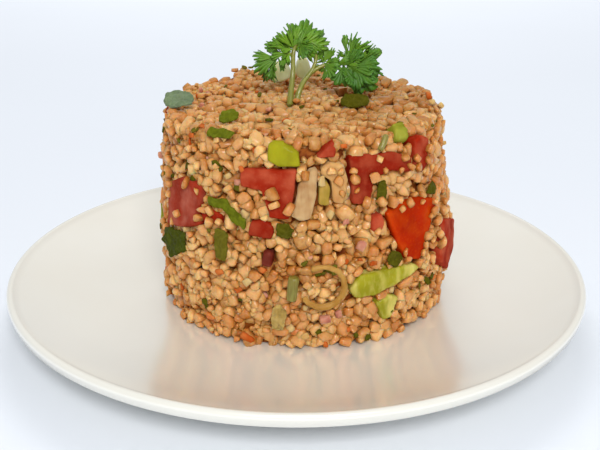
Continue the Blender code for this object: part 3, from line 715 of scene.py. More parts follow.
def plate_profile():
    """Points (radius, height) from the centre of the well, over the lip and back under to the axis."""
    inner_lip = PLATE_RADIUS - LIP_WIDTH
    rise = PLATE_HEIGHT - INNER_LIP_DROP - WELL_HEIGHT
    points = [(0, WELL_HEIGHT), (WELL_RADIUS - 6, WELL_HEIGHT)]
    for share in np.linspace(0, 1, WELL_STEPS):
        radius = WELL_RADIUS + share * (inner_lip - WELL_RADIUS)
        points.append((radius, WELL_HEIGHT + rise * share**WELL_RISE_POWER))
    across, up = PLATE_RADIUS - LIP_HALF_WIDTH, PLATE_HEIGHT - LIP_HALF_HEIGHT
    for angle in np.radians(np.linspace(*LIP_ANGLES)):
        points.append((across + LIP_HALF_WIDTH * math.cos(angle), up + LIP_HALF_HEIGHT * math.sin(angle)))
    points += [
        (PLATE_RADIUS - 0.45, PLATE_HEIGHT - LIP_DEPTH + 0.75),
        (PLATE_RADIUS - 1.0, PLATE_HEIGHT - LIP_DEPTH + 0.2),
        (PLATE_RADIUS - 2.0, PLATE_HEIGHT - LIP_DEPTH - 0.15),
        (PLATE_RADIUS - 12, PLATE_HEIGHT - LIP_DEPTH - 3.4),
        (FOOT_RADIUS + 10, FOOT_HEIGHT + 0.8),
        (FOOT_RADIUS + 1.2, FOOT_HEIGHT),
        (FOOT_RADIUS + 0.4, FOOT_HEIGHT - 0.5),
        (FOOT_RADIUS, 0.5),
        (FOOT_RADIUS - 0.4, 0),
        (FOOT_RADIUS - FOOT_WIDTH + 0.4, 0),
        (FOOT_RADIUS - FOOT_WIDTH, 0.5),
        (FOOT_RADIUS - FOOT_WIDTH - 0.8, FOOT_HEIGHT),
        (0, FOOT_HEIGHT),
    ]
    return points


def make_plate(settings):
    """The plate's profile turned round its axis."""
    mesh = bpy.data.meshes.new("plate_profile")
    points = [(radius * MM, 0, height * MM) for radius, height in plate_profile()]
    mesh.from_pydata(points, [(i, i + 1) for i in range(len(points) - 1)], [])
    blank = bpy.data.objects.new("plate_blank", mesh)
    turned = blank.modifiers.new("turned", "SCREW")
    turned.steps = turned.render_steps = settings.steps
    turned.use_merge_vertices = True
    turned.merge_threshold = 1e-5
    add_piece("glazed_plate", evaluated(blank), glaze_material(settings), "glaze", "plate")


# The salad's grains


# The columns of an array of grains: a grain's azimuth and climb, its middle's x, y and z, and its size,
# which is half its thickness.
AZIMUTH, CLIMB, MIDDLE, SIZE = 0, 1, slice(2, 5), 5

# The nodes of all that lies in the salad and on it.
TOPPINGS = [node for node in frame["nodes"] if node not in ("kisir", "plate")]

WALL_OUT = 0.65  # of the mould's wall from the bare core

# The grains that show: sizes with the number of tries at placing each, largest first.
GRAIN_SIZES = ((2.2, 2200), (1.9, 6000), (1.65, 12000), (1.35, 20000), (1.0, 12000))
GRAIN_CLOSENESS = 0.63  # of two touching grains' reach, because pressed grains flatten
GRAIN_CLEAR = (0.12, 0.64)  # from the tomatoes and from the other pieces, as shares of a grain's size
LOWEST = BASE_HEIGHT + 0.5
RESTING = 0.9  # how far a grain's middle stays above the well, as a share of its size
BEHIND_SPREAD = 0.5  # of the grains that lie behind the wall, as a share of the unevenness
HEAPED = (-0.25, 0.45)  # how far out the grains on top lie: the mean and the spread

# The grains underneath.
UNDER_SIZES = ((1.5, 9000), (1.2, 16000))
UNDER_CLOSENESS = 0.78
UNDER_CLEAR = (0.9, 0.5)
UNDER_DEPTH = 2.2  # of their outer sides behind the wall
UNDER_SPREAD = 0.5  # of that depth
UNDER_STAIN = 0.2  # how much more tomato has soaked into them
# Painted shade: the grains underneath get the grains' colours made darker.
UNDER_BRIGHTNESS = 0.74

# The dark paste behind all grains, whose colour is partly painted shade in the gaps.
PASTE_DEPTH = 3.4  # of its surface below the bare core's
PASTE_GRID = (84, 150)  # rows up the side and over the top, and columns round it
PASTE_MIDDLE = 0.5  # the radius of the fan that closes its top
PASTE_PATCH = 1.8  # of the cloud that roughens it
PASTE_RELIEF = 0.8

# Holes and hollows.
HOLE_SPREAD = 4.2  # of the cloud that leaves holes
HOLE_GRAIN = 1.7  # a grain of a larger size lies over a hole
HOLES = 0.12  # above this level of cloud no small grain fills a gap, which leaves dark holes
CLUMP_SIZE = 5.2  # between the hollows
CLUMP_EDGE = 0.1  # the clumping below which a hollow begins
CLUMP_RELIEF = 4.0  # for each unit of the clumping

# The shape of a grain.
BULGUR_FORM = ((0.98, 1.5), (0.82, 1.12), (0.7, 1.0))  # length, width and thickness, shortest and longest
CRACKS = 5  # flats that break a kernel, besides its six sides
PRESSED = 0.9  # how far the mould leaves a grain's face from its middle, as a share of its size
SIDE_FACES = (0.85, 1.2)  # how much less or more each grain on the side is pressed
TOP_FACES = (0.55, 1.0)  # how far the faces of those on top lie from their middles
FLATTENED = 0.8  # how much of a grain's rise past its face is taken down
LOOSENESS = 0.95  # of the grains' tilt
TOP_LOOSENESS = 1.3  # how much more the grains on top are tumbled than the pressed ones
TOP_CREVICE = 0.6  # how much of the painted shade where grains meet the grains on top get, beside the others
SIDE_TURN = 0.95  # the facing from which a point counts as on a grain's side
SHARP_ANGLE = 75  # between the faces of a grain from which their edge looks crisp, in degrees
SOAKED_SHARE = 0.03  # of the grains, which much tomato has soaked into
SOAKED_STAIN = 0.3

# How many different grains there are of a kind, and how sharp their edges are.
GRAIN_SHAPES = (40, 8)
SMALL_SHAPES = (30, 8)
UNDER_SHAPES = (12, 7)

# The pieces that the grains are joined in, with the size that they are over and the one they go up to.
BULGUR_KINDS = {
    "bulgur_large": (2.0, 9.0),
    "bulgur_coarse": (1.4, 2.0),
    "bulgur_medium": (1.2, 1.4),
    "bulgur_fine": (0.0, 1.2),
}

# Grains that lie on the cut pieces where they are seen: azimuth, climb, size.
GRAINS_ON_PIECES = (
    (55.5, 42.5, 1.45),
    (57.5, 38.6, 1.55),
    (58.5, 34.8, 1.3),
    (60.5, 31.5, 1.4),
    (-11.0, 53.6, 1.7),
    (-10.2, 50.8, 1.3),
    (-53.5, 41.8, 1.2),
    (22.5, 50.6, 1.5),
    (28.5, 50.2, 1.35),
    (33.5, 50.0, 1.5),
    (-45.0, 37.4, 1.3),
    (12.4, 57.6, 1.3),
    (9.4, 60.4, 1.2),
    (13.6, 54.2, 1.1),
    (0.6, 59.4, 1.1),
)
PIECE_OUT = 0.45  # of a cut piece's face from the bare core
ON_PIECE_OUT = 0.45  # how far out of that face a grain on a piece lies, as a share of its size

# Grains that stray over the borders of the cut pieces.
STRAYED = ("tomato", "onion_beige", "onion_back")  # how the names of the pieces begin
NOT_STRAYED = ("tomato_edge", "tomato_tip")
STRAY_SIZES = (0.9, 1.6)
STRAY_TRIES = 9000
STRAY_PATCH = 7.0  # of the cloud that leaves stretches of a border bare
STRAY_LEVEL = 0.02  # above this level of that cloud grains lie over the border
STRAY_PROBE = 2.0  # how deep below the surface a piece is probed
STRAY_BORDER = 1.1  # from the side of a piece
STRAY_OUT = 0.3  # how far out of a piece's face they lie, as a share of their size
STRAY_APART = 1.05  # of two grains' reach


def cube_ball(cells):
    """Unit directions and triangles of a ball made from a cube whose sides have cells by cells faces."""
    bm = bmesh.new()
    bmesh.ops.create_cube(bm, size=2)
    bmesh.ops.subdivide_edges(bm, edges=bm.edges, cuts=cells - 1, use_grid_fill=True)
    bmesh.ops.triangulate(bm, faces=bm.faces)
    bm.verts.index_update()
    points = np.array([v.co.normalized() for v in bm.verts])
    triangles = np.array([[v.index for v in f.verts] for f in bm.faces])
    bm.free()
    return points, triangles


def cracked_shapes(directions, rng, count, sharpness):
    """Grains cracked from kernels: rounded polyhedra of random flats, each about 1 in half width."""
    shapes = []
    for _ in range(count):
        flats = rng.normal(size=(CRACKS, 3))
        flats /= np.linalg.norm(flats, axis=1)[:, None]
        flats = np.concatenate([flats, np.eye(3), -np.eye(3)])
        distances = np.concatenate([rng.uniform(0.6, 1.1, CRACKS), rng.uniform(0.8, 1.05, 6)])
        facing = np.maximum(directions @ flats.T, 0) / distances
        reach = (facing**sharpness).sum(1) ** (-1 / sharpness)
        shapes.append(directions * reach[:, None])
    return np.array(shapes)


def turns(normals, rng, looseness):
    """Rotations that lay a grain's thin way along each normal, spun at random and tipped by looseness."""
    count = len(normals)
    tipped = normals + rng.normal(size=(count, 3)) * looseness
    up = tipped / np.linalg.norm(tipped, axis=1)[:, None]
    aside = np.cross(up, rng.normal(size=(count, 3)))
    aside /= np.linalg.norm(aside, axis=1)[:, None]
    return np.stack([aside, np.cross(up, aside), up], -1)


class Bed:
    """Grains that have been laid, kept by cell so that a crowded place is found fast."""

    CELL = 4.0  # at least the distance within which two grains can crowd each other

    def __init__(self):
        self.cells = {}

    def cell(self, point):
        """The cell that a point lies in."""
        return tuple(int(math.floor(c / self.CELL)) for c in point)

    def crowded(self, point, size, closeness):
        """Whether a grain of this size here would lie too close to one that has been laid."""
        x, y, z = point
        for cell in itertools.product(*((c - 1, c, c + 1) for c in self.cell(point))):
            for px, py, pz, other in self.cells.get(cell, ()):
                apart = (px - x) ** 2 + (py - y) ** 2 + (pz - z) ** 2
                if apart < (closeness * (size + other)) ** 2:
                    return True
        return False

    def lay(self, point, size):
        """Keeps a grain among those that have been laid."""
        self.cells.setdefault(self.cell(point), []).append((*point, size))


def drawn_places(rng, count):
    """Azimuths and climbs drawn evenly over the side, the shoulder and the top."""
    azimuths = rng.uniform(-180, 180, count)
    side = 2 * RADIUS * (TOP_CLIMB - BASE_HEIGHT)
    on_side = rng.uniform(0, side + TOP_RADIUS**2, count) < side
    up_side = rng.uniform(LOWEST, TOP_CLIMB, count)
    over_top = TOP_CLIMB + TOP_RADIUS * (1 - np.sqrt(rng.uniform(0, 1, count)))
    return azimuths, np.where(on_side, up_side, over_top)


def solids_tree(names):
    """A search tree of the solids with these names."""
    points, triangles = [], []
    for name in names:
        mesh = frame["nodes"][name].data
        mesh.calc_loop_triangles()
        triangles += [[i + len(points) for i in t.vertices] for t in mesh.loop_triangles]
        points += [v.co.copy() for v in mesh.vertices]
    return BVHTree.FromPolygons(points, triangles)


def in_a_piece(pieces, point, reach):
    """Whether a point lies inside one of the pieces or closer to it than a reach."""
    nearest, normal, _, distance = pieces.find_nearest(point)
    return distance < reach or (point - nearest).dot(normal) < 0


def clumping(points):
    """How far clumps of grains stand out at points, of about -0.6 in a hollow to 0.6."""
    return clouds(points, CLUMP_SIZE, (0, 0, 20))


def hollows(azimuths, climbs):
    """How deep the hollows between the clumps are, in millimetres."""
    return CLUMP_RELIEF * np.clip(CLUMP_EDGE - clumping(place(azimuths, climbs)), 0, 0.5)


def in_holes(points):
    """Whether each point lies in a hole that small grains leave."""
    return clouds(points, HOLE_SPREAD) >= HOLES


def laid_grains(rng, sizes, closeness, sink, pieces):
    """Grains laid by size, largest first, clear of each other and of the pieces.

    The function sink gives how far out they lie. Each of pieces is a search tree of solids with the share
    of a grain's size that keeps clear of them.
    """
    bed = Bed()
    found = []
    for size, tries in sizes:
        azimuths, climbs = drawn_places(rng, tries)
        out = sink(size, climbs, rng)
        points = place(azimuths, climbs, out - hollows(azimuths, climbs))
        points[:, 2] = np.maximum(points[:, 2], WELL_HEIGHT + size * RESTING)
        filled = ~in_holes(points) | (size > HOLE_GRAIN)
        azimuths, climbs, points = azimuths[filled], climbs[filled], points[filled]
        for azimuth, climb, point in zip(azimuths, climbs, points.tolist()):
            if bed.crowded(point, size, closeness):
                continue
            if any(in_a_piece(tree, Vector(point) * MM, share * size * MM) for tree, share in pieces):
                continue
            bed.lay(point, size)
            found.append((azimuth, climb, *point, size))
    return np.array(found)


def stray_grains(rng, pieces):
    """Grains that lie over the borders of the cut pieces in this search tree."""
    bed = Bed()
    found = []
    for size in rng.uniform(*STRAY_SIZES, STRAY_TRIES):
        azimuth, climb = (float(drawn[0]) for drawn in drawn_places(rng, 1))
        inner = Vector(place(azimuth, climb, -STRAY_PROBE)) * MM
        nearest, normal, _, distance = pieces.find_nearest(inner)
        inside = (inner - nearest).dot(normal) < 0
        if not inside or distance >= STRAY_BORDER * MM:
            continue
        point = place(azimuth, climb, PIECE_OUT + STRAY_OUT * size).tolist()
        covered = clouds([point], STRAY_PATCH)[0] > STRAY_LEVEL
        if covered and not bed.crowded(point, size, STRAY_APART):
            bed.lay(point, size)
            found.append((azimuth, climb, *point, size))
    return np.array(found)


def upper_sink(unevenness):
    """How far out grains of a size lie: their faces near the mould's wall, looser on the top."""

    def sink(size, climbs, rng):
        loose = np.clip((climbs - SHOULDER_CLIMB) / SHOULDER, 0, 1)
        behind = np.abs(rng.normal(0, BEHIND_SPREAD, len(climbs))) * unevenness / MM
        heaped = rng.normal(*HEAPED, len(climbs))
        return WALL_OUT - PRESSED * size - behind + heaped * loose

    return sink


def under_sink(size, climbs, rng):
    """How far out the grains underneath lie."""
    return WALL_OUT - UNDER_DEPTH - size + rng.uniform(-UNDER_SPREAD, UNDER_SPREAD, len(climbs))


def grain_tones(points, rng, stain_shift=0.0):
    """Three carried values a grain: paleness, darker as painted shade in the hollows and on the top, tomato
    stain, and room for the painted shade where grains meet.
    """
    count = len(points)
    x, _, height = points.T
    clump = clumping(points)
    paler = clouds(points, 13.0)
    redder = clouds(points, 9.0, (40, 0, 0))
    low = np.clip((26 - height) / 20, 0, 1)
    high = np.clip((height - (TOP_HEIGHT - 4)) / 4, 0, 1)
    # Painted shade: the top is coloured duller, more so to the right, and the grains in the hollows between
    # clumps darker and a little more stained.
    top_shaded = high * (0.1 + 0.1 * np.clip(x / 40, -0.5, 1))
    paleness_and_shade = 0.43 + 0.5 * paler + 1.2 * clump - top_shaded + rng.normal(0, 0.15, count)
    stain = 0.12 + 0.5 * redder - 0.1 * clump + 0.1 * low - 0.1 * high
    stain = stain + rng.normal(0, 0.07, count) + stain_shift
    stain += (rng.uniform(0, 1, count) < SOAKED_SHARE) * SOAKED_STAIN
    return np.stack([np.clip(paleness_and_shade, 0, 1), np.clip(stain, 0, 1), np.zeros(count)], -1)


def grains_mesh(name, grains, shapes, triangles, rng, looseness, tones, form=BULGUR_FORM):
    """One joined mesh of grains, each a shape of its own size, turn and tone."""
    normals = outward(grains[:, AZIMUTH], grains[:, CLIMB])
    count = len(grains)
    on_side = grains[:, CLIMB] < SHOULDER_CLIMB
    turned = turns(normals, rng, np.where(on_side, looseness, looseness * TOP_LOOSENESS)[:, None])
    stretch = np.stack([rng.uniform(low, high, count) for low, high in form], -1)
    chosen = shapes[rng.integers(0, len(shapes), count)]
    local = chosen * (stretch * grains[:, SIZE, None])[:, None, :]
    arms = np.einsum("gij,gvj->gvi", turned, local)
    side_face = PRESSED * rng.uniform(*SIDE_FACES, count)
    face = grains[:, SIZE] * np.where(on_side, side_face, rng.uniform(*TOP_FACES, count))
    over = np.maximum(np.einsum("gvi,gi->gv", arms, normals) - face[:, None], 0)
    arms -= over[:, :, None] * normals[:, None, :] * FLATTENED
    points = arms + grains[:, None, MIDDLE]
    each = chosen.shape[1]
    faces = triangles[None] + (np.arange(count) * each)[:, None, None]
    mesh = array_mesh(name, points.reshape(-1, 3), faces.reshape(-1, 3))
    carried = np.repeat(tones, each, axis=0)
    # Channel 2 is painted shade where grains meet, less of it on the top.
    crevice_shade_share = np.where(on_side, 1.0, TOP_CREVICE)[:, None]
    carried[:, 2] = (crevices(arms, normals) * crevice_shade_share).ravel()
    paint(mesh, "grain", carried)
    return mesh


def crevices(arms, normals):
    """How far each point of a grain lies round its side: 0 on its outer face, 1 where grains meet."""
    facing = np.einsum("gvi,gi->gv", arms, normals) / np.linalg.norm(arms, axis=2)
    return np.clip((SIDE_TURN - facing) / SIDE_TURN, 0, 1)


def make_core(settings):
    """The paste behind the grains, dark partly as painted shade: a closed heap a little smaller than the
    salad.
    """
    rows, columns = PASTE_GRID
    climbs = np.linspace(BASE_HEIGHT, TOP_CLIMB + TOP_RADIUS - PASTE_MIDDLE, rows)
    azimuths = np.arange(columns) * 360 / columns
    across, up = np.meshgrid(azimuths, climbs)
    rough = clouds(place(across, up).reshape(-1, 3), PASTE_PATCH).reshape(rows, columns)
    points = place(across, up, -PASTE_DEPTH + PASTE_RELIEF * rough).reshape(-1, 3)
    triangles = grid_triangles(rows, columns, closed=True)
    ends = []
    for ring, centre in ((0, len(points)), (rows - 1, len(points) + 1)):
        rim = ring * columns + np.arange(columns)
        after = np.roll(rim, -1)
        order = (after, rim) if ring == 0 else (rim, after)
        ends.append(np.stack([*order, np.full(columns, centre)], -1))
    middles = [[*CENTRE, BASE_HEIGHT], points[-columns:].mean(0)]
    points, triangles = np.concatenate([points, middles]), np.concatenate([triangles, *ends])
    mesh = array_mesh("salad_paste", points, triangles)
    add_piece("salad_paste", mesh, paste_and_shade_material(settings), "bulgur", "kisir")


def salad_grains(settings, rng):
    """The grains that show, and those underneath."""
    tomatoes = [n for n in TOPPINGS if n.startswith("tomato")]
    trees = solids_tree(tomatoes), solids_tree([n for n in TOPPINGS if n not in tomatoes])
    sink = upper_sink(settings.unevenness)
    upper = laid_grains(rng, GRAIN_SIZES, GRAIN_CLOSENESS, sink, list(zip(trees, GRAIN_CLEAR)))
    lower = laid_grains(rng, UNDER_SIZES, UNDER_CLOSENESS, under_sink, list(zip(trees, UNDER_CLEAR)))
    on_pieces = [
        (azimuth, climb, *place(azimuth, climb, PIECE_OUT + ON_PIECE_OUT * size), size)
        for azimuth, climb, size in GRAINS_ON_PIECES
    ]
    strayed = [n for n in TOPPINGS if n.startswith(STRAYED) and n not in NOT_STRAYED]
    return np.concatenate([upper, on_pieces, stray_grains(rng, solids_tree(strayed))]), lower


def make_grains(settings):
    """Lays the grains and joins those of a kind in one piece."""
    rng = np.random.default_rng(settings.seed)
    upper, lower = salad_grains(settings, rng)
    fine, fine_triangles = cube_ball(3)
    coarse, coarse_triangles = cube_ball(2)
    shapes = cracked_shapes(fine, rng, *GRAIN_SHAPES)
    small_shapes = cracked_shapes(coarse, rng, *SMALL_SHAPES)
    material = bulgur_material(settings)
    for name, (smallest, largest) in BULGUR_KINDS.items():
        grains = upper[(upper[:, SIZE] > smallest) & (upper[:, SIZE] <= largest)]
        tones = grain_tones(grains[:, MIDDLE], rng)
        small = name == "bulgur_fine"
        cracked = (small_shapes, coarse_triangles) if small else (shapes, fine_triangles)
        mesh = grains_mesh(name, grains, *cracked, rng, LOOSENESS, tones)
        add_piece(name, mesh, material, "bulgur", "kisir")
        mesh.set_sharp_from_angle(angle=math.radians(SHARP_ANGLE))
    tones = grain_tones(lower[:, MIDDLE], rng, UNDER_STAIN)
    round_shapes = cracked_shapes(coarse, rng, *UNDER_SHAPES)
    mesh = grains_mesh("bulgur_under", lower, round_shapes, coarse_triangles, rng, 1.0, tones)
    # Painted shade: a darker copy of the grain material for the grains behind.
    shaded = bulgur_material(settings, "bulgur_behind", UNDER_BRIGHTNESS)
    add_piece("bulgur_under", mesh, shaded, "bulgur", "kisir")


# Crumbs of the other things in the salad

# Each kind's crumbs as they are seen: pixel and half width, then how many more lie scattered.
CRUMBS = {
    "herb": (
        ((165, 129, 1.3), (180, 156, 1.2), (183, 166, 1.3), (215, 163, 1.1), (192, 179, 1.0),
         (162, 174, 1.2), (206, 302, 1.1), (206, 307, 0.9), (319, 333, 1.2), (366, 337, 1.3),
         (371, 338, 1.0), (425, 280, 1.2), (430, 276, 1.0), (349, 207, 0.8), (404, 160, 0.7),
         (290, 130, 0.7), (240, 300, 0.7), (390, 310, 0.8)),
        34,
    ),
    "olive": (
        ((329, 271, 1.5), (334, 269, 1.2), (176, 141, 1.0), (421, 150, 0.9), (305, 262, 0.9)),
        34,
    ),
    "onion": (
        ((243, 216, 1.5), (246, 221, 1.1), (186, 176, 1.2), (185, 229, 1.3), (223, 138, 1.1),
         (322, 180, 1.3), (340, 168, 1.4), (331, 216, 1.2), (413, 190, 1.1), (232, 150, 1.0),
         (249, 281, 1.3), (290, 330, 1.4)),
        46,
    ),
    "mauve": (
        ((345, 221, 1.1), (350, 202, 0.9), (362, 246, 1.3), (325, 318, 1.4), (261, 297, 1.4),
         (203, 161, 0.9)),
        16,
    ),
    "orange": (
        ((428, 97, 1.5), (199, 94, 1.2), (248, 337, 1.6), (256, 340, 1.5), (325, 344, 1.1),
         (221, 271, 1.1), (235, 289, 1.3), (176, 287, 1.2), (202, 124, 1.0), (242, 168, 0.9),
         (255, 152, 1.2), (299, 176, 1.0), (432, 199, 1.0), (345, 262, 1.0), (372, 262, 0.9),
         (437, 278, 1.1)),
        18,
    ),
}
CRUMB_SIZES = (0.6, 1.15)  # of those that lie scattered
CRUMB_FORMS = {
    "herb": ((0.9, 1.4), (0.6, 1.0), (0.28, 0.4)),
    "olive": ((1.0, 1.6), (0.7, 1.0), (0.3, 0.5)),
    "onion": ((0.9, 1.25), (0.8, 1.0), (0.6, 0.9)),
    "mauve": ((0.9, 1.3), (0.7, 1.0), (0.5, 0.8)),
    "orange": ((0.9, 1.5), (0.7, 1.0), (0.4, 0.8)),
}
CRUMB_SHAPES = (12, 14)
CRUMB_OUT = 0.32  # of a crumb's outer side from the mould's wall
CRUMB_PRESSED = 0.4  # how far in its middle is from there, as a share of its size
CRUMB_SINK = 1.2  # how much deeper a crumb lies where small grains leave a hole
CRUMB_PROBE = 0.5  # how deep behind the wall the place of a scattered one is tried
CRUMB_CLEARANCE = 1.6  # of the scattered ones from the cut pieces
CRUMB_LOOSENESS = 0.2  # of their tilt


def clear_places(rng, count, pieces):
    """Random azimuths and climbs that lie clear of the pieces in this search tree."""
    azimuths, climbs = drawn_places(rng, count * 2)
    points = place(azimuths, climbs, WALL_OUT - CRUMB_PROBE)
    free = [not in_a_piece(pieces, Vector(point) * MM, CRUMB_CLEARANCE * MM) for point in points]
    return azimuths[free][:count], climbs[free][:count]


def make_crumbs(materials, rng):
    """Small bits of herb, onion and tomato between the grains: those that are seen, and more."""
    directions, triangles = cube_ball(3)
    pieces = solids_tree(TOPPINGS)
    for kind, (shown, scattered) in CRUMBS.items():
        rows = [(*under((across, down)), half) for across, down, half in shown]
        azimuths, climbs = clear_places(rng, scattered, pieces)
        rows += zip(azimuths, climbs, rng.uniform(*CRUMB_SIZES, len(azimuths)))
        azimuth, climb, size = np.array(rows).T
        out = WALL_OUT + CRUMB_OUT - CRUMB_PRESSED * size - hollows(azimuth, climb)
        over_holes = in_holes(place(azimuth, climb, out))
        points = place(azimuth, climb, out - CRUMB_SINK * over_holes)
        crumbs = np.column_stack([azimuth, climb, points, size])
        shapes = cracked_shapes(directions, rng, *CRUMB_SHAPES)
        tones, form, name = np.zeros((len(crumbs), 3)), CRUMB_FORMS[kind], f"{kind}_crumbs"
        mesh = grains_mesh(name, crumbs, shapes, triangles, rng, CRUMB_LOOSENESS, tones, form)
        material, slot = materials[kind]
        add_piece(name, mesh, material, slot, "kisir")


# Cut vegetables and leaves

CUT_ROUNDS = 4  # of smoothing
ONION_ROUNDS = 12
CUT_RELIEF = 0.4
CUT_BUMPS = (4.5, 1.4)  # the sizes of the larger and of the smaller
CUT_FINE_SHARE = 0.3  # of the relief, which the smaller bumps have
CUT_SWELL = 0.25  # makes up for what the smoothing takes away

LEAF_FINENESS = 3  # how many times a leaf's faces are divided
LEAF_ROUNDS = 4
LEAF_RELIEF = 0.6
LEAF_CRINKLES = (3.2, 1.1)
LEAF_FINE_SHARE = 0.7

STALKS = ("stem_shoulder", "spring_onion_tube")
STALK_VOXEL = 0.25 * MM
STALK_ROUNDS = 3
STALK_RELIEF = 0.2


def smoothed(thing, rounds):
    """The mesh of an object's other modifiers after this many rounds of smoothing."""
    soft = thing.modifiers.new("soft", "SMOOTH")
    soft.factor = 0.5
    soft.iterations = rounds
    return evaluated(thing)


def soften(node, voxel, rounds, relief_mm, offset):
    """A solid's mesh with its corners rounded and its faces made uneven, in the same place."""
    large, small = CUT_BUMPS
    thing = bpy.data.objects.new(node + "_blank", welded_copy(node))
    cells = thing.modifiers.new("cells", "REMESH")
    cells.mode = "VOXEL"
    cells.voxel_size = voxel
    mesh = smoothed(thing, rounds)
    ripple(mesh, large, relief_mm, offset, CUT_SWELL)
    ripple(mesh, small, relief_mm * CUT_FINE_SHARE, offset + 9)
    return mesh


def crinkled_leaf(node, offset):
    """A leaf solid's mesh, made finer and crinkled, in the same place."""
    large, small = LEAF_CRINKLES
    thing = bpy.data.objects.new(node + "_blank", welded_copy(node))
    finer = thing.modifiers.new("finer", "SUBSURF")
    finer.subdivision_type = "SIMPLE"
    finer.levels = finer.render_levels = LEAF_FINENESS
    mesh = smoothed(thing, LEAF_ROUNDS)
    ripple(mesh, large, LEAF_RELIEF, offset)
    ripple(mesh, small, LEAF_RELIEF * LEAF_FINE_SHARE, offset + 5)
    return mesh


def slot_of(node):
    """The material slot that the record gives a node."""
    rows = frame["record"]["subparts"]
    return next(row["material_slot"] for row in rows if row["node"] == node)


def nodes_in(slots):
    """The names of the nodes whose record slot is one of these, in order."""
    return sorted(n for n in frame["nodes"] if slot_of(n) in slots)


def replace_solid(node, ending, mesh, materials):
    """Puts a mesh in a solid's place, in the material of its own name or else of its slot."""
    slot = slot_of(node)
    material = materials[node] if node in materials else materials[slot]
    add_piece(node + ending, mesh, material, slot, node)


def make_cut_pieces(materials, voxel):
    """Replaces each solid whose slot has a material here by a rounded, uneven one."""
    for i, node in enumerate(nodes_in(materials)):
        rounds = ONION_ROUNDS if node.startswith("onion") else CUT_ROUNDS
        mesh = soften(node, voxel, rounds, CUT_RELIEF, 3.1 * i)
        replace_solid(node, "_cut", mesh, materials)


def make_leaves(materials):
    """Replaces the solids of the leaves by crinkled ones and those of the cut stalks by ribbed ones."""
    whole = [n for n in nodes_in(materials) if n not in ("parsley_sprig", *STALKS)]
    for i, node in enumerate(whole):
        replace_solid(node, "_leaf", crinkled_leaf(node, 2.3 * i), materials)
    for i, node in enumerate(STALKS):
        mesh = soften(node, STALK_VOXEL, STALK_ROUNDS, STALK_RELIEF, 2.3 * i)
        replace_solid(node, "_cut", mesh, materials)


# The sprig

# Blades as they are seen: foot and tip in the photograph's pixels, how far back each lies, the spread of
# the blade in degrees, and how deep its green is from 0 to 1, which is painted shade.
BLADES = (
    ((294, 52), (288, 23), 2.5, 1.0, 52, 0.0),
    ((296, 52), (309, 18), 2.5, 5.0, 60, 0.2),
    ((298, 52), (325, 27), 3.0, 7.5, 62, 0.3),
    ((302, 40), (328, 42), 3.5, 4.0, 70, 0.3),
    ((300, 42), (306, 59), 3.0, -1.0, 80, 0.55),
    ((293, 51), (277, 33), 2.5, 4.5, 42, 0.1),
    ((292, 52), (267, 45), 2.0, -1.0, 44, 0.15),
    ((286, 53), (256, 58), 1.5, 2.5, 58, 0.35),
    ((280, 55), (254, 74), 1.0, -3.0, 60, 0.6),
    ((271, 58), (260, 82), 1.0, 3.0, 46, 0.5),
    ((289, 53), (284, 64), 2.0, -1.0, 56, 0.25),
    ((312, 66), (326, 48), 3.0, 5.5, 40, 0.25),
    ((322, 64), (337, 49), 3.0, 2.5, 48, 0.3),
    ((324, 62), (334, 78), 3.2, -1.5, 86, 0.45),
    ((348, 61), (355, 31), 3.5, 3.5, 56, 0.25),
    ((352, 62), (367, 39), 3.5, 2.0, 44, 0.35),
    ((352, 64), (386, 55), 3.6, 5.0, 40, 0.4),
    ((350, 62), (386, 72), 3.6, 1.0, 62, 0.55),
    ((346, 62), (374, 90), 3.2, -3.0, 76, 0.85),
    ((342, 62), (350, 88), 3.0, -1.0, 74, 0.75),
    ((352, 64), (372, 78), 3.4, -4.0, 90, 0.9),
    ((346, 67), (358, 54), 2.8, 1.0, 70, 0.45),
    ((336, 66), (345, 54), 2.6, 1.5, 60, 0.4),
    ((350, 70), (361, 86), 3.2, -1.5, 80, 0.8),
)

# The share of a blade's spread that each of its lobes has, and how ragged young and old lobes are.
LOBE_SPREAD = 0.66
YOUNG_RAGGEDNESS = 1.0
OLD_RAGGEDNESS = 0.4
OLD_AGE = 0.7

# Stems as they are seen: pixels with how far back each lies, and the radius at both ends.
STEMS = (
    (((290, 104, -3.0), (291, 92, -2.4), (293, 70, -0.6), (294, 50, 2.5), (297, 42, 2.6)), 1.05, 0.5),
    (
        ((297, 100, -2.6), (299, 92, -1.8), (307, 77, 1.0), (318, 68, 2.6), (334, 63, 3.2), (352, 63, 3.6)),
        0.95,
        0.45,
    ),
    (((294, 54, 2.4), (284, 54, 1.8), (274, 57, 1.0), (266, 64, 0.4)), 0.5, 0.3),
    (((306, 79, 0.6), (314, 66, 2.4), (316, 54, 3.4), (312, 44, 3.6)), 0.7, 0.35),
    (((342, 64, 3.8), (349, 56, 4.4), (351, 50, 4.8)), 0.45, 0.3),
)

# The lobes of a blade: how far each is turned aside in degrees, its length and where along it starts.
LOBES = ((0, 1.0, 0.0), (-38, 0.76, 0.14), (38, 0.76, 0.14), (-82, 0.5, 0.1), (82, 0.5, 0.1))
LOBE_COLUMNS = 25
LOBE_ROWS = 8
LOBE_TEETH = (3, 5)  # from the first number up to, but not with, the second
LOBE_TILT = 45  # how far a lobe may be tilted either way, in degrees
LOBE_TURN = 6  # how far it may be turned from its place, in degrees
LOBE_LIFT = 0.3
SHADE_AND_AGE_SPREAD = 0.22  # of the lobes of one blade
SPRIG_SEED = 23


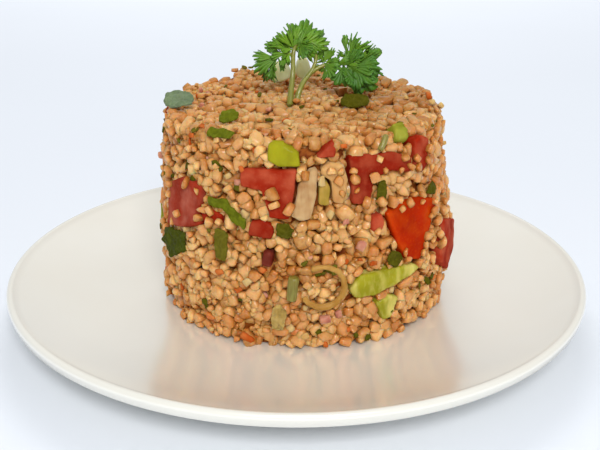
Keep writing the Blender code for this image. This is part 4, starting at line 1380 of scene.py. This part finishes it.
def lobe_grid(length, spread, raggedness, rng):
    """One frilled lobe lying on the plane z = 0 with its foot at the origin and its tip towards +Y.

    Returns its points and the three values that each carries: 0 for the lobe's painted shade and age, vein,
    edge.
    """
    across = np.linspace(0, 1, LOBE_COLUMNS)
    along = np.linspace(0, 1, LOBE_ROWS)[:, None]
    # The edge is cut in a few rounded teeth with smaller nicks in them, and falls back to both sides.
    teeth = int(rng.integers(*LOBE_TEETH))
    notch = 1 - np.abs(np.cos(math.pi * teeth * (across - 0.5))) ** 0.5
    nick = 1 - np.abs(np.cos(math.pi * teeth * 2.6 * (across - 0.5) + 1)) ** 0.7
    cut = raggedness * (0.36 * notch + 0.14 * nick) + 0.22 * (2 * across - 1) ** 2
    reach = length * (1 - cut * along**3)
    # The lobe fans out from its foot, waves along its edge and curls back or forward as a whole.
    angle = math.radians(spread) * (across - 0.5) * (0.5 + 0.5 * along)
    radius = reach * (0.03 + 0.97 * along)
    phase = rng.uniform(0, 2 * math.pi)
    frill = length * 0.08 * along**3 * np.sin(2 * math.pi * teeth * across + phase)
    curl = length * rng.uniform(-0.3, 0.05) * along**2
    points = np.stack([radius * np.sin(angle), radius * np.cos(angle), frill + curl], -1)
    vein = np.abs(np.cos(math.pi * teeth * (across - 0.5))) ** 12 * (1 - 0.6 * along)
    edge = np.broadcast_to(along**5, vein.shape)
    carried = np.stack([np.zeros_like(vein), vein, edge], -1)
    return points.reshape(-1, 3), carried.reshape(-1, 3)


def blade_turn(foot, tip, rng):
    """A rotation that points a blade from its foot to its tip with its face roughly to the camera."""
    along = (tip - foot).normalized()
    facing = Vector((rng.uniform(-0.9, 0.9), -1, rng.uniform(-0.5, 1.1)))
    aside = along.cross(facing).normalized()
    return Matrix((aside, along, aside.cross(along))).transposed()


def make_sprig_leaves(settings):
    """The frilled blades, each of five lobes, joined in one piece."""
    rng = np.random.default_rng(SPRIG_SEED)
    points, carried, faces = [], [], []
    triangles = grid_triangles(LOBE_ROWS, LOBE_COLUMNS)
    for foot_pixel, tip_pixel, foot_depth, tip_depth, spread, shade_and_age in BLADES:
        foot, tip = seen(foot_pixel, foot_depth), seen(tip_pixel, tip_depth)
        blade = blade_turn(foot, tip, rng)
        length = (tip - foot).length
        raggedness = OLD_RAGGEDNESS if shade_and_age > OLD_AGE else YOUNG_RAGGEDNESS
        for aside, share, start in LOBES:
            local, values = lobe_grid(length * share, spread * LOBE_SPREAD, raggedness, rng)
            tilt = Matrix.Rotation(math.radians(rng.uniform(-LOBE_TILT, LOBE_TILT)), 3, "Y")
            heading = rng.uniform(-LOBE_TURN, LOBE_TURN) - aside
            turn = blade @ Matrix.Rotation(math.radians(heading), 3, "Z") @ tilt
            base = foot + blade @ Vector((0, length * start, rng.uniform(-LOBE_LIFT, LOBE_LIFT)))
            # Channel 0 is painted shade: the blade's deep green where it lies in shade, varied a little
            # lobe by lobe.
            values[:, 0] = np.clip(shade_and_age + rng.uniform(-SHADE_AND_AGE_SPREAD, SHADE_AND_AGE_SPREAD), 0, 1)
            faces.append(triangles + len(points) * len(local))
            points.append(local @ np.array(turn).T + np.array(base))
            carried.append(values)
    mesh = array_mesh("sprig_blades", np.concatenate(points), np.concatenate(faces))
    paint(mesh, "blade", np.concatenate(carried))
    thing = bpy.data.objects.new("sprig_blank", mesh)
    skin = thing.modifiers.new("thickness", "SOLIDIFY")
    skin.thickness = settings.thickness
    skin.offset = 0
    add_piece("sprig_leaves", evaluated(thing), sprig_material(settings), "parsley", "parsley_sprig")


def rod_mesh(name, line, thick, thin):
    """A round rod along a smooth curve through points, from its radius at one end to that at the other."""
    curve = bpy.data.curves.new(name, "CURVE")
    curve.dimensions = "3D"
    curve.bevel_depth = MM
    curve.bevel_resolution = 3
    curve.resolution_u = 6
    curve.use_fill_caps = True
    spline = curve.splines.new("BEZIER")
    spline.bezier_points.add(len(line) - 1)
    for i, (point, co) in enumerate(zip(spline.bezier_points, line)):
        point.co = co * MM
        point.handle_left_type = point.handle_right_type = "AUTO"
        point.radius = thick + (thin - thick) * i / (len(line) - 1)
    return evaluated(bpy.data.objects.new(name, curve))


def make_stems(settings):
    """The sprig's stems. The first replaces the sprig's solid, as the blades do."""
    material = stem_material("parsley_stem", settings.stem)
    for number, (line, thick, thin) in enumerate(STEMS, 1):
        name = f"sprig_stem_{number}"
        points = [seen((across, down), back) for across, down, back in line]
        nodes = ["parsley_sprig"] if number == 1 else []
        add_piece(name, rod_mesh(name, points, thick, thin), material, "parsley", *nodes)


# The stage

FLOOR_RADIUS = 6000.0
SKY_COLOUR = (0.93, 0.96, 1.0, 1)
CLIP_START = 10

# Lights: name, place, what they face, size, power beside the key light's setting, and whether they glint.
LIGHTS = (
    ("key", (70, -760, 620), (0, 0, 35), 320, 4, True),
    ("back", (0, 1200, 1000), (0, 800, 0), 800, 6, False),
)


def make_floor(look):
    """A round matte floor."""
    bm = bmesh.new()
    bmesh.ops.create_circle(bm, cap_ends=True, segments=96, radius=FLOOR_RADIUS * MM)
    mesh = bpy.data.meshes.new("floor")
    bm.to_mesh(mesh)
    bm.free()
    mesh.materials.append(floor_material(look.floor))
    floor = placed("floor", mesh)


def add_light(name, place_mm, aim_mm, size_mm, watts, glints):
    """A square soft light at a point, turned to face another."""
    lamp = bpy.data.lights.new(name, "AREA")
    lamp.size = size_mm * MM
    lamp.energy = watts
    light = placed(name, lamp)
    light.location = Vector(place_mm) * MM
    light.rotation_euler = (Vector(aim_mm) - Vector(place_mm)).to_track_quat("-Z", "Y").to_euler()
    light.visible_glossy = glints


def make_lights(look):
    """A pale room, a large light in front and above, and one behind that brightens the floor."""
    world = bpy.data.worlds.new("pale_room")
    world.use_nodes = True
    background = world.node_tree.nodes["Background"]
    background.inputs["Color"].default_value = SKY_COLOUR
    background.inputs["Strength"].default_value = look.sky
    bpy.context.scene.world = world
    for name, place_mm, aim_mm, size_mm, power, glints in LIGHTS:
        add_light(name, place_mm, aim_mm, size_mm, look.key * power, glints)


def make_camera():
    """The camera that was fitted to the photograph."""
    right, up, forward = camera_axes()
    data = bpy.data.cameras.new("camera")
    data.sensor_width = SENSOR_MM
    data.lens = FOCAL_PIXELS * SENSOR_MM / PHOTO_SIZE[0]
    data.clip_start = CLIP_START * MM
    camera = placed("camera", data)
    turn = Matrix((right, up, -forward)).transposed().to_4x4()
    camera.matrix_world = Matrix.Translation(Vector(CAMERA_PLACE) * MM) @ turn
    bpy.context.scene.camera = camera


# Operators


class KISIR_OT_plate(bpy.types.Operator):
    """Add the glazed plate."""

    bl_idname = "kisir.plate"
    bl_label = "Plate"

    def execute(self, context):
        make_plate(context.scene.kisir_plate)
        return {"FINISHED"}


class KISIR_OT_salad(bpy.types.Operator):
    """Add the salad's paste, dark partly as painted shade, and its bulgur grains."""

    bl_idname = "kisir.salad"
    bl_label = "Bulgur"

    def execute(self, context):
        make_core(context.scene.kisir_grains)
        make_grains(context.scene.kisir_grains)
        return {"FINISHED"}


class KISIR_OT_vegetables(bpy.types.Operator):
    """Add the cut tomato, cucumber, pepper and onion."""

    bl_idname = "kisir.vegetables"
    bl_label = "Cut vegetables"

    def execute(self, context):
        look = context.scene.kisir_vegetables
        make_cut_pieces(vegetable_materials(look), look.voxel)
        return {"FINISHED"}


class KISIR_OT_herbs(bpy.types.Operator):
    """Add the leaves, cut stalks and crumbs in the salad."""

    bl_idname = "kisir.herbs"
    bl_label = "Herbs and crumbs"

    def execute(self, context):
        look = context.scene.kisir_herbs
        materials = herb_materials(look)
        make_leaves(materials)
        make_crumbs(crumb_materials(materials), np.random.default_rng(look.crumb_seed))
        return {"FINISHED"}


class KISIR_OT_sprig(bpy.types.Operator):
    """Add the sprig of curly parsley."""

    bl_idname = "kisir.sprig"
    bl_label = "Parsley sprig"

    def execute(self, context):
        make_sprig_leaves(context.scene.kisir_sprig)
        make_stems(context.scene.kisir_sprig)
        return {"FINISHED"}


class KISIR_OT_stage(bpy.types.Operator):
    """Add the floor, the lights and the camera."""

    bl_idname = "kisir.stage"
    bl_label = "Stage"

    def execute(self, context):
        look = context.scene.kisir_stage
        make_floor(look)
        make_lights(look)
        make_camera()
        context.scene.view_settings.view_transform = "Standard"
        return {"FINISHED"}


class KISIR_PT_panel(bpy.types.Panel):
    """The add-on's panel in the 3D view's sidebar."""

    bl_idname = "KISIR_PT_panel"
    bl_label = "Plate of kisir"
    bl_space_type = "VIEW_3D"
    bl_region_type = "UI"
    bl_category = "Kisir"

    def draw(self, context):
        for operator, name, _ in STEPS:
            box = self.layout.box()
            box.operator(operator.bl_idname)
            settings = getattr(context.scene, name)
            for choice in settings.__annotations__:
                box.prop(settings, choice)


# Each operator, and the name and kind of the settings that it reads.
STEPS = (
    (KISIR_OT_stage, "kisir_stage", StageSettings),
    (KISIR_OT_plate, "kisir_plate", PlateSettings),
    (KISIR_OT_salad, "kisir_grains", GrainSettings),
    (KISIR_OT_vegetables, "kisir_vegetables", VegetableSettings),
    (KISIR_OT_herbs, "kisir_herbs", HerbSettings),
    (KISIR_OT_sprig, "kisir_sprig", SprigSettings),
)


def register():
    for operator, name, settings in STEPS:
        bpy.utils.register_class(settings)
        bpy.utils.register_class(operator)
        setattr(bpy.types.Scene, name, bpy.props.PointerProperty(type=settings))
    bpy.utils.register_class(KISIR_PT_panel)


def unregister():
    bpy.utils.unregister_class(KISIR_PT_panel)
    for operator, name, settings in reversed(STEPS):
        delattr(bpy.types.Scene, name)
        bpy.utils.unregister_class(operator)
        bpy.utils.unregister_class(settings)


def main():
    """Builds everything, one operator after another."""
    register()
    bpy.ops.kisir.stage()
    bpy.ops.kisir.plate()
    bpy.ops.kisir.salad()
    bpy.ops.kisir.vegetables()
    bpy.ops.kisir.herbs()
    bpy.ops.kisir.sprig()


if __name__ == "__main__":
    main()
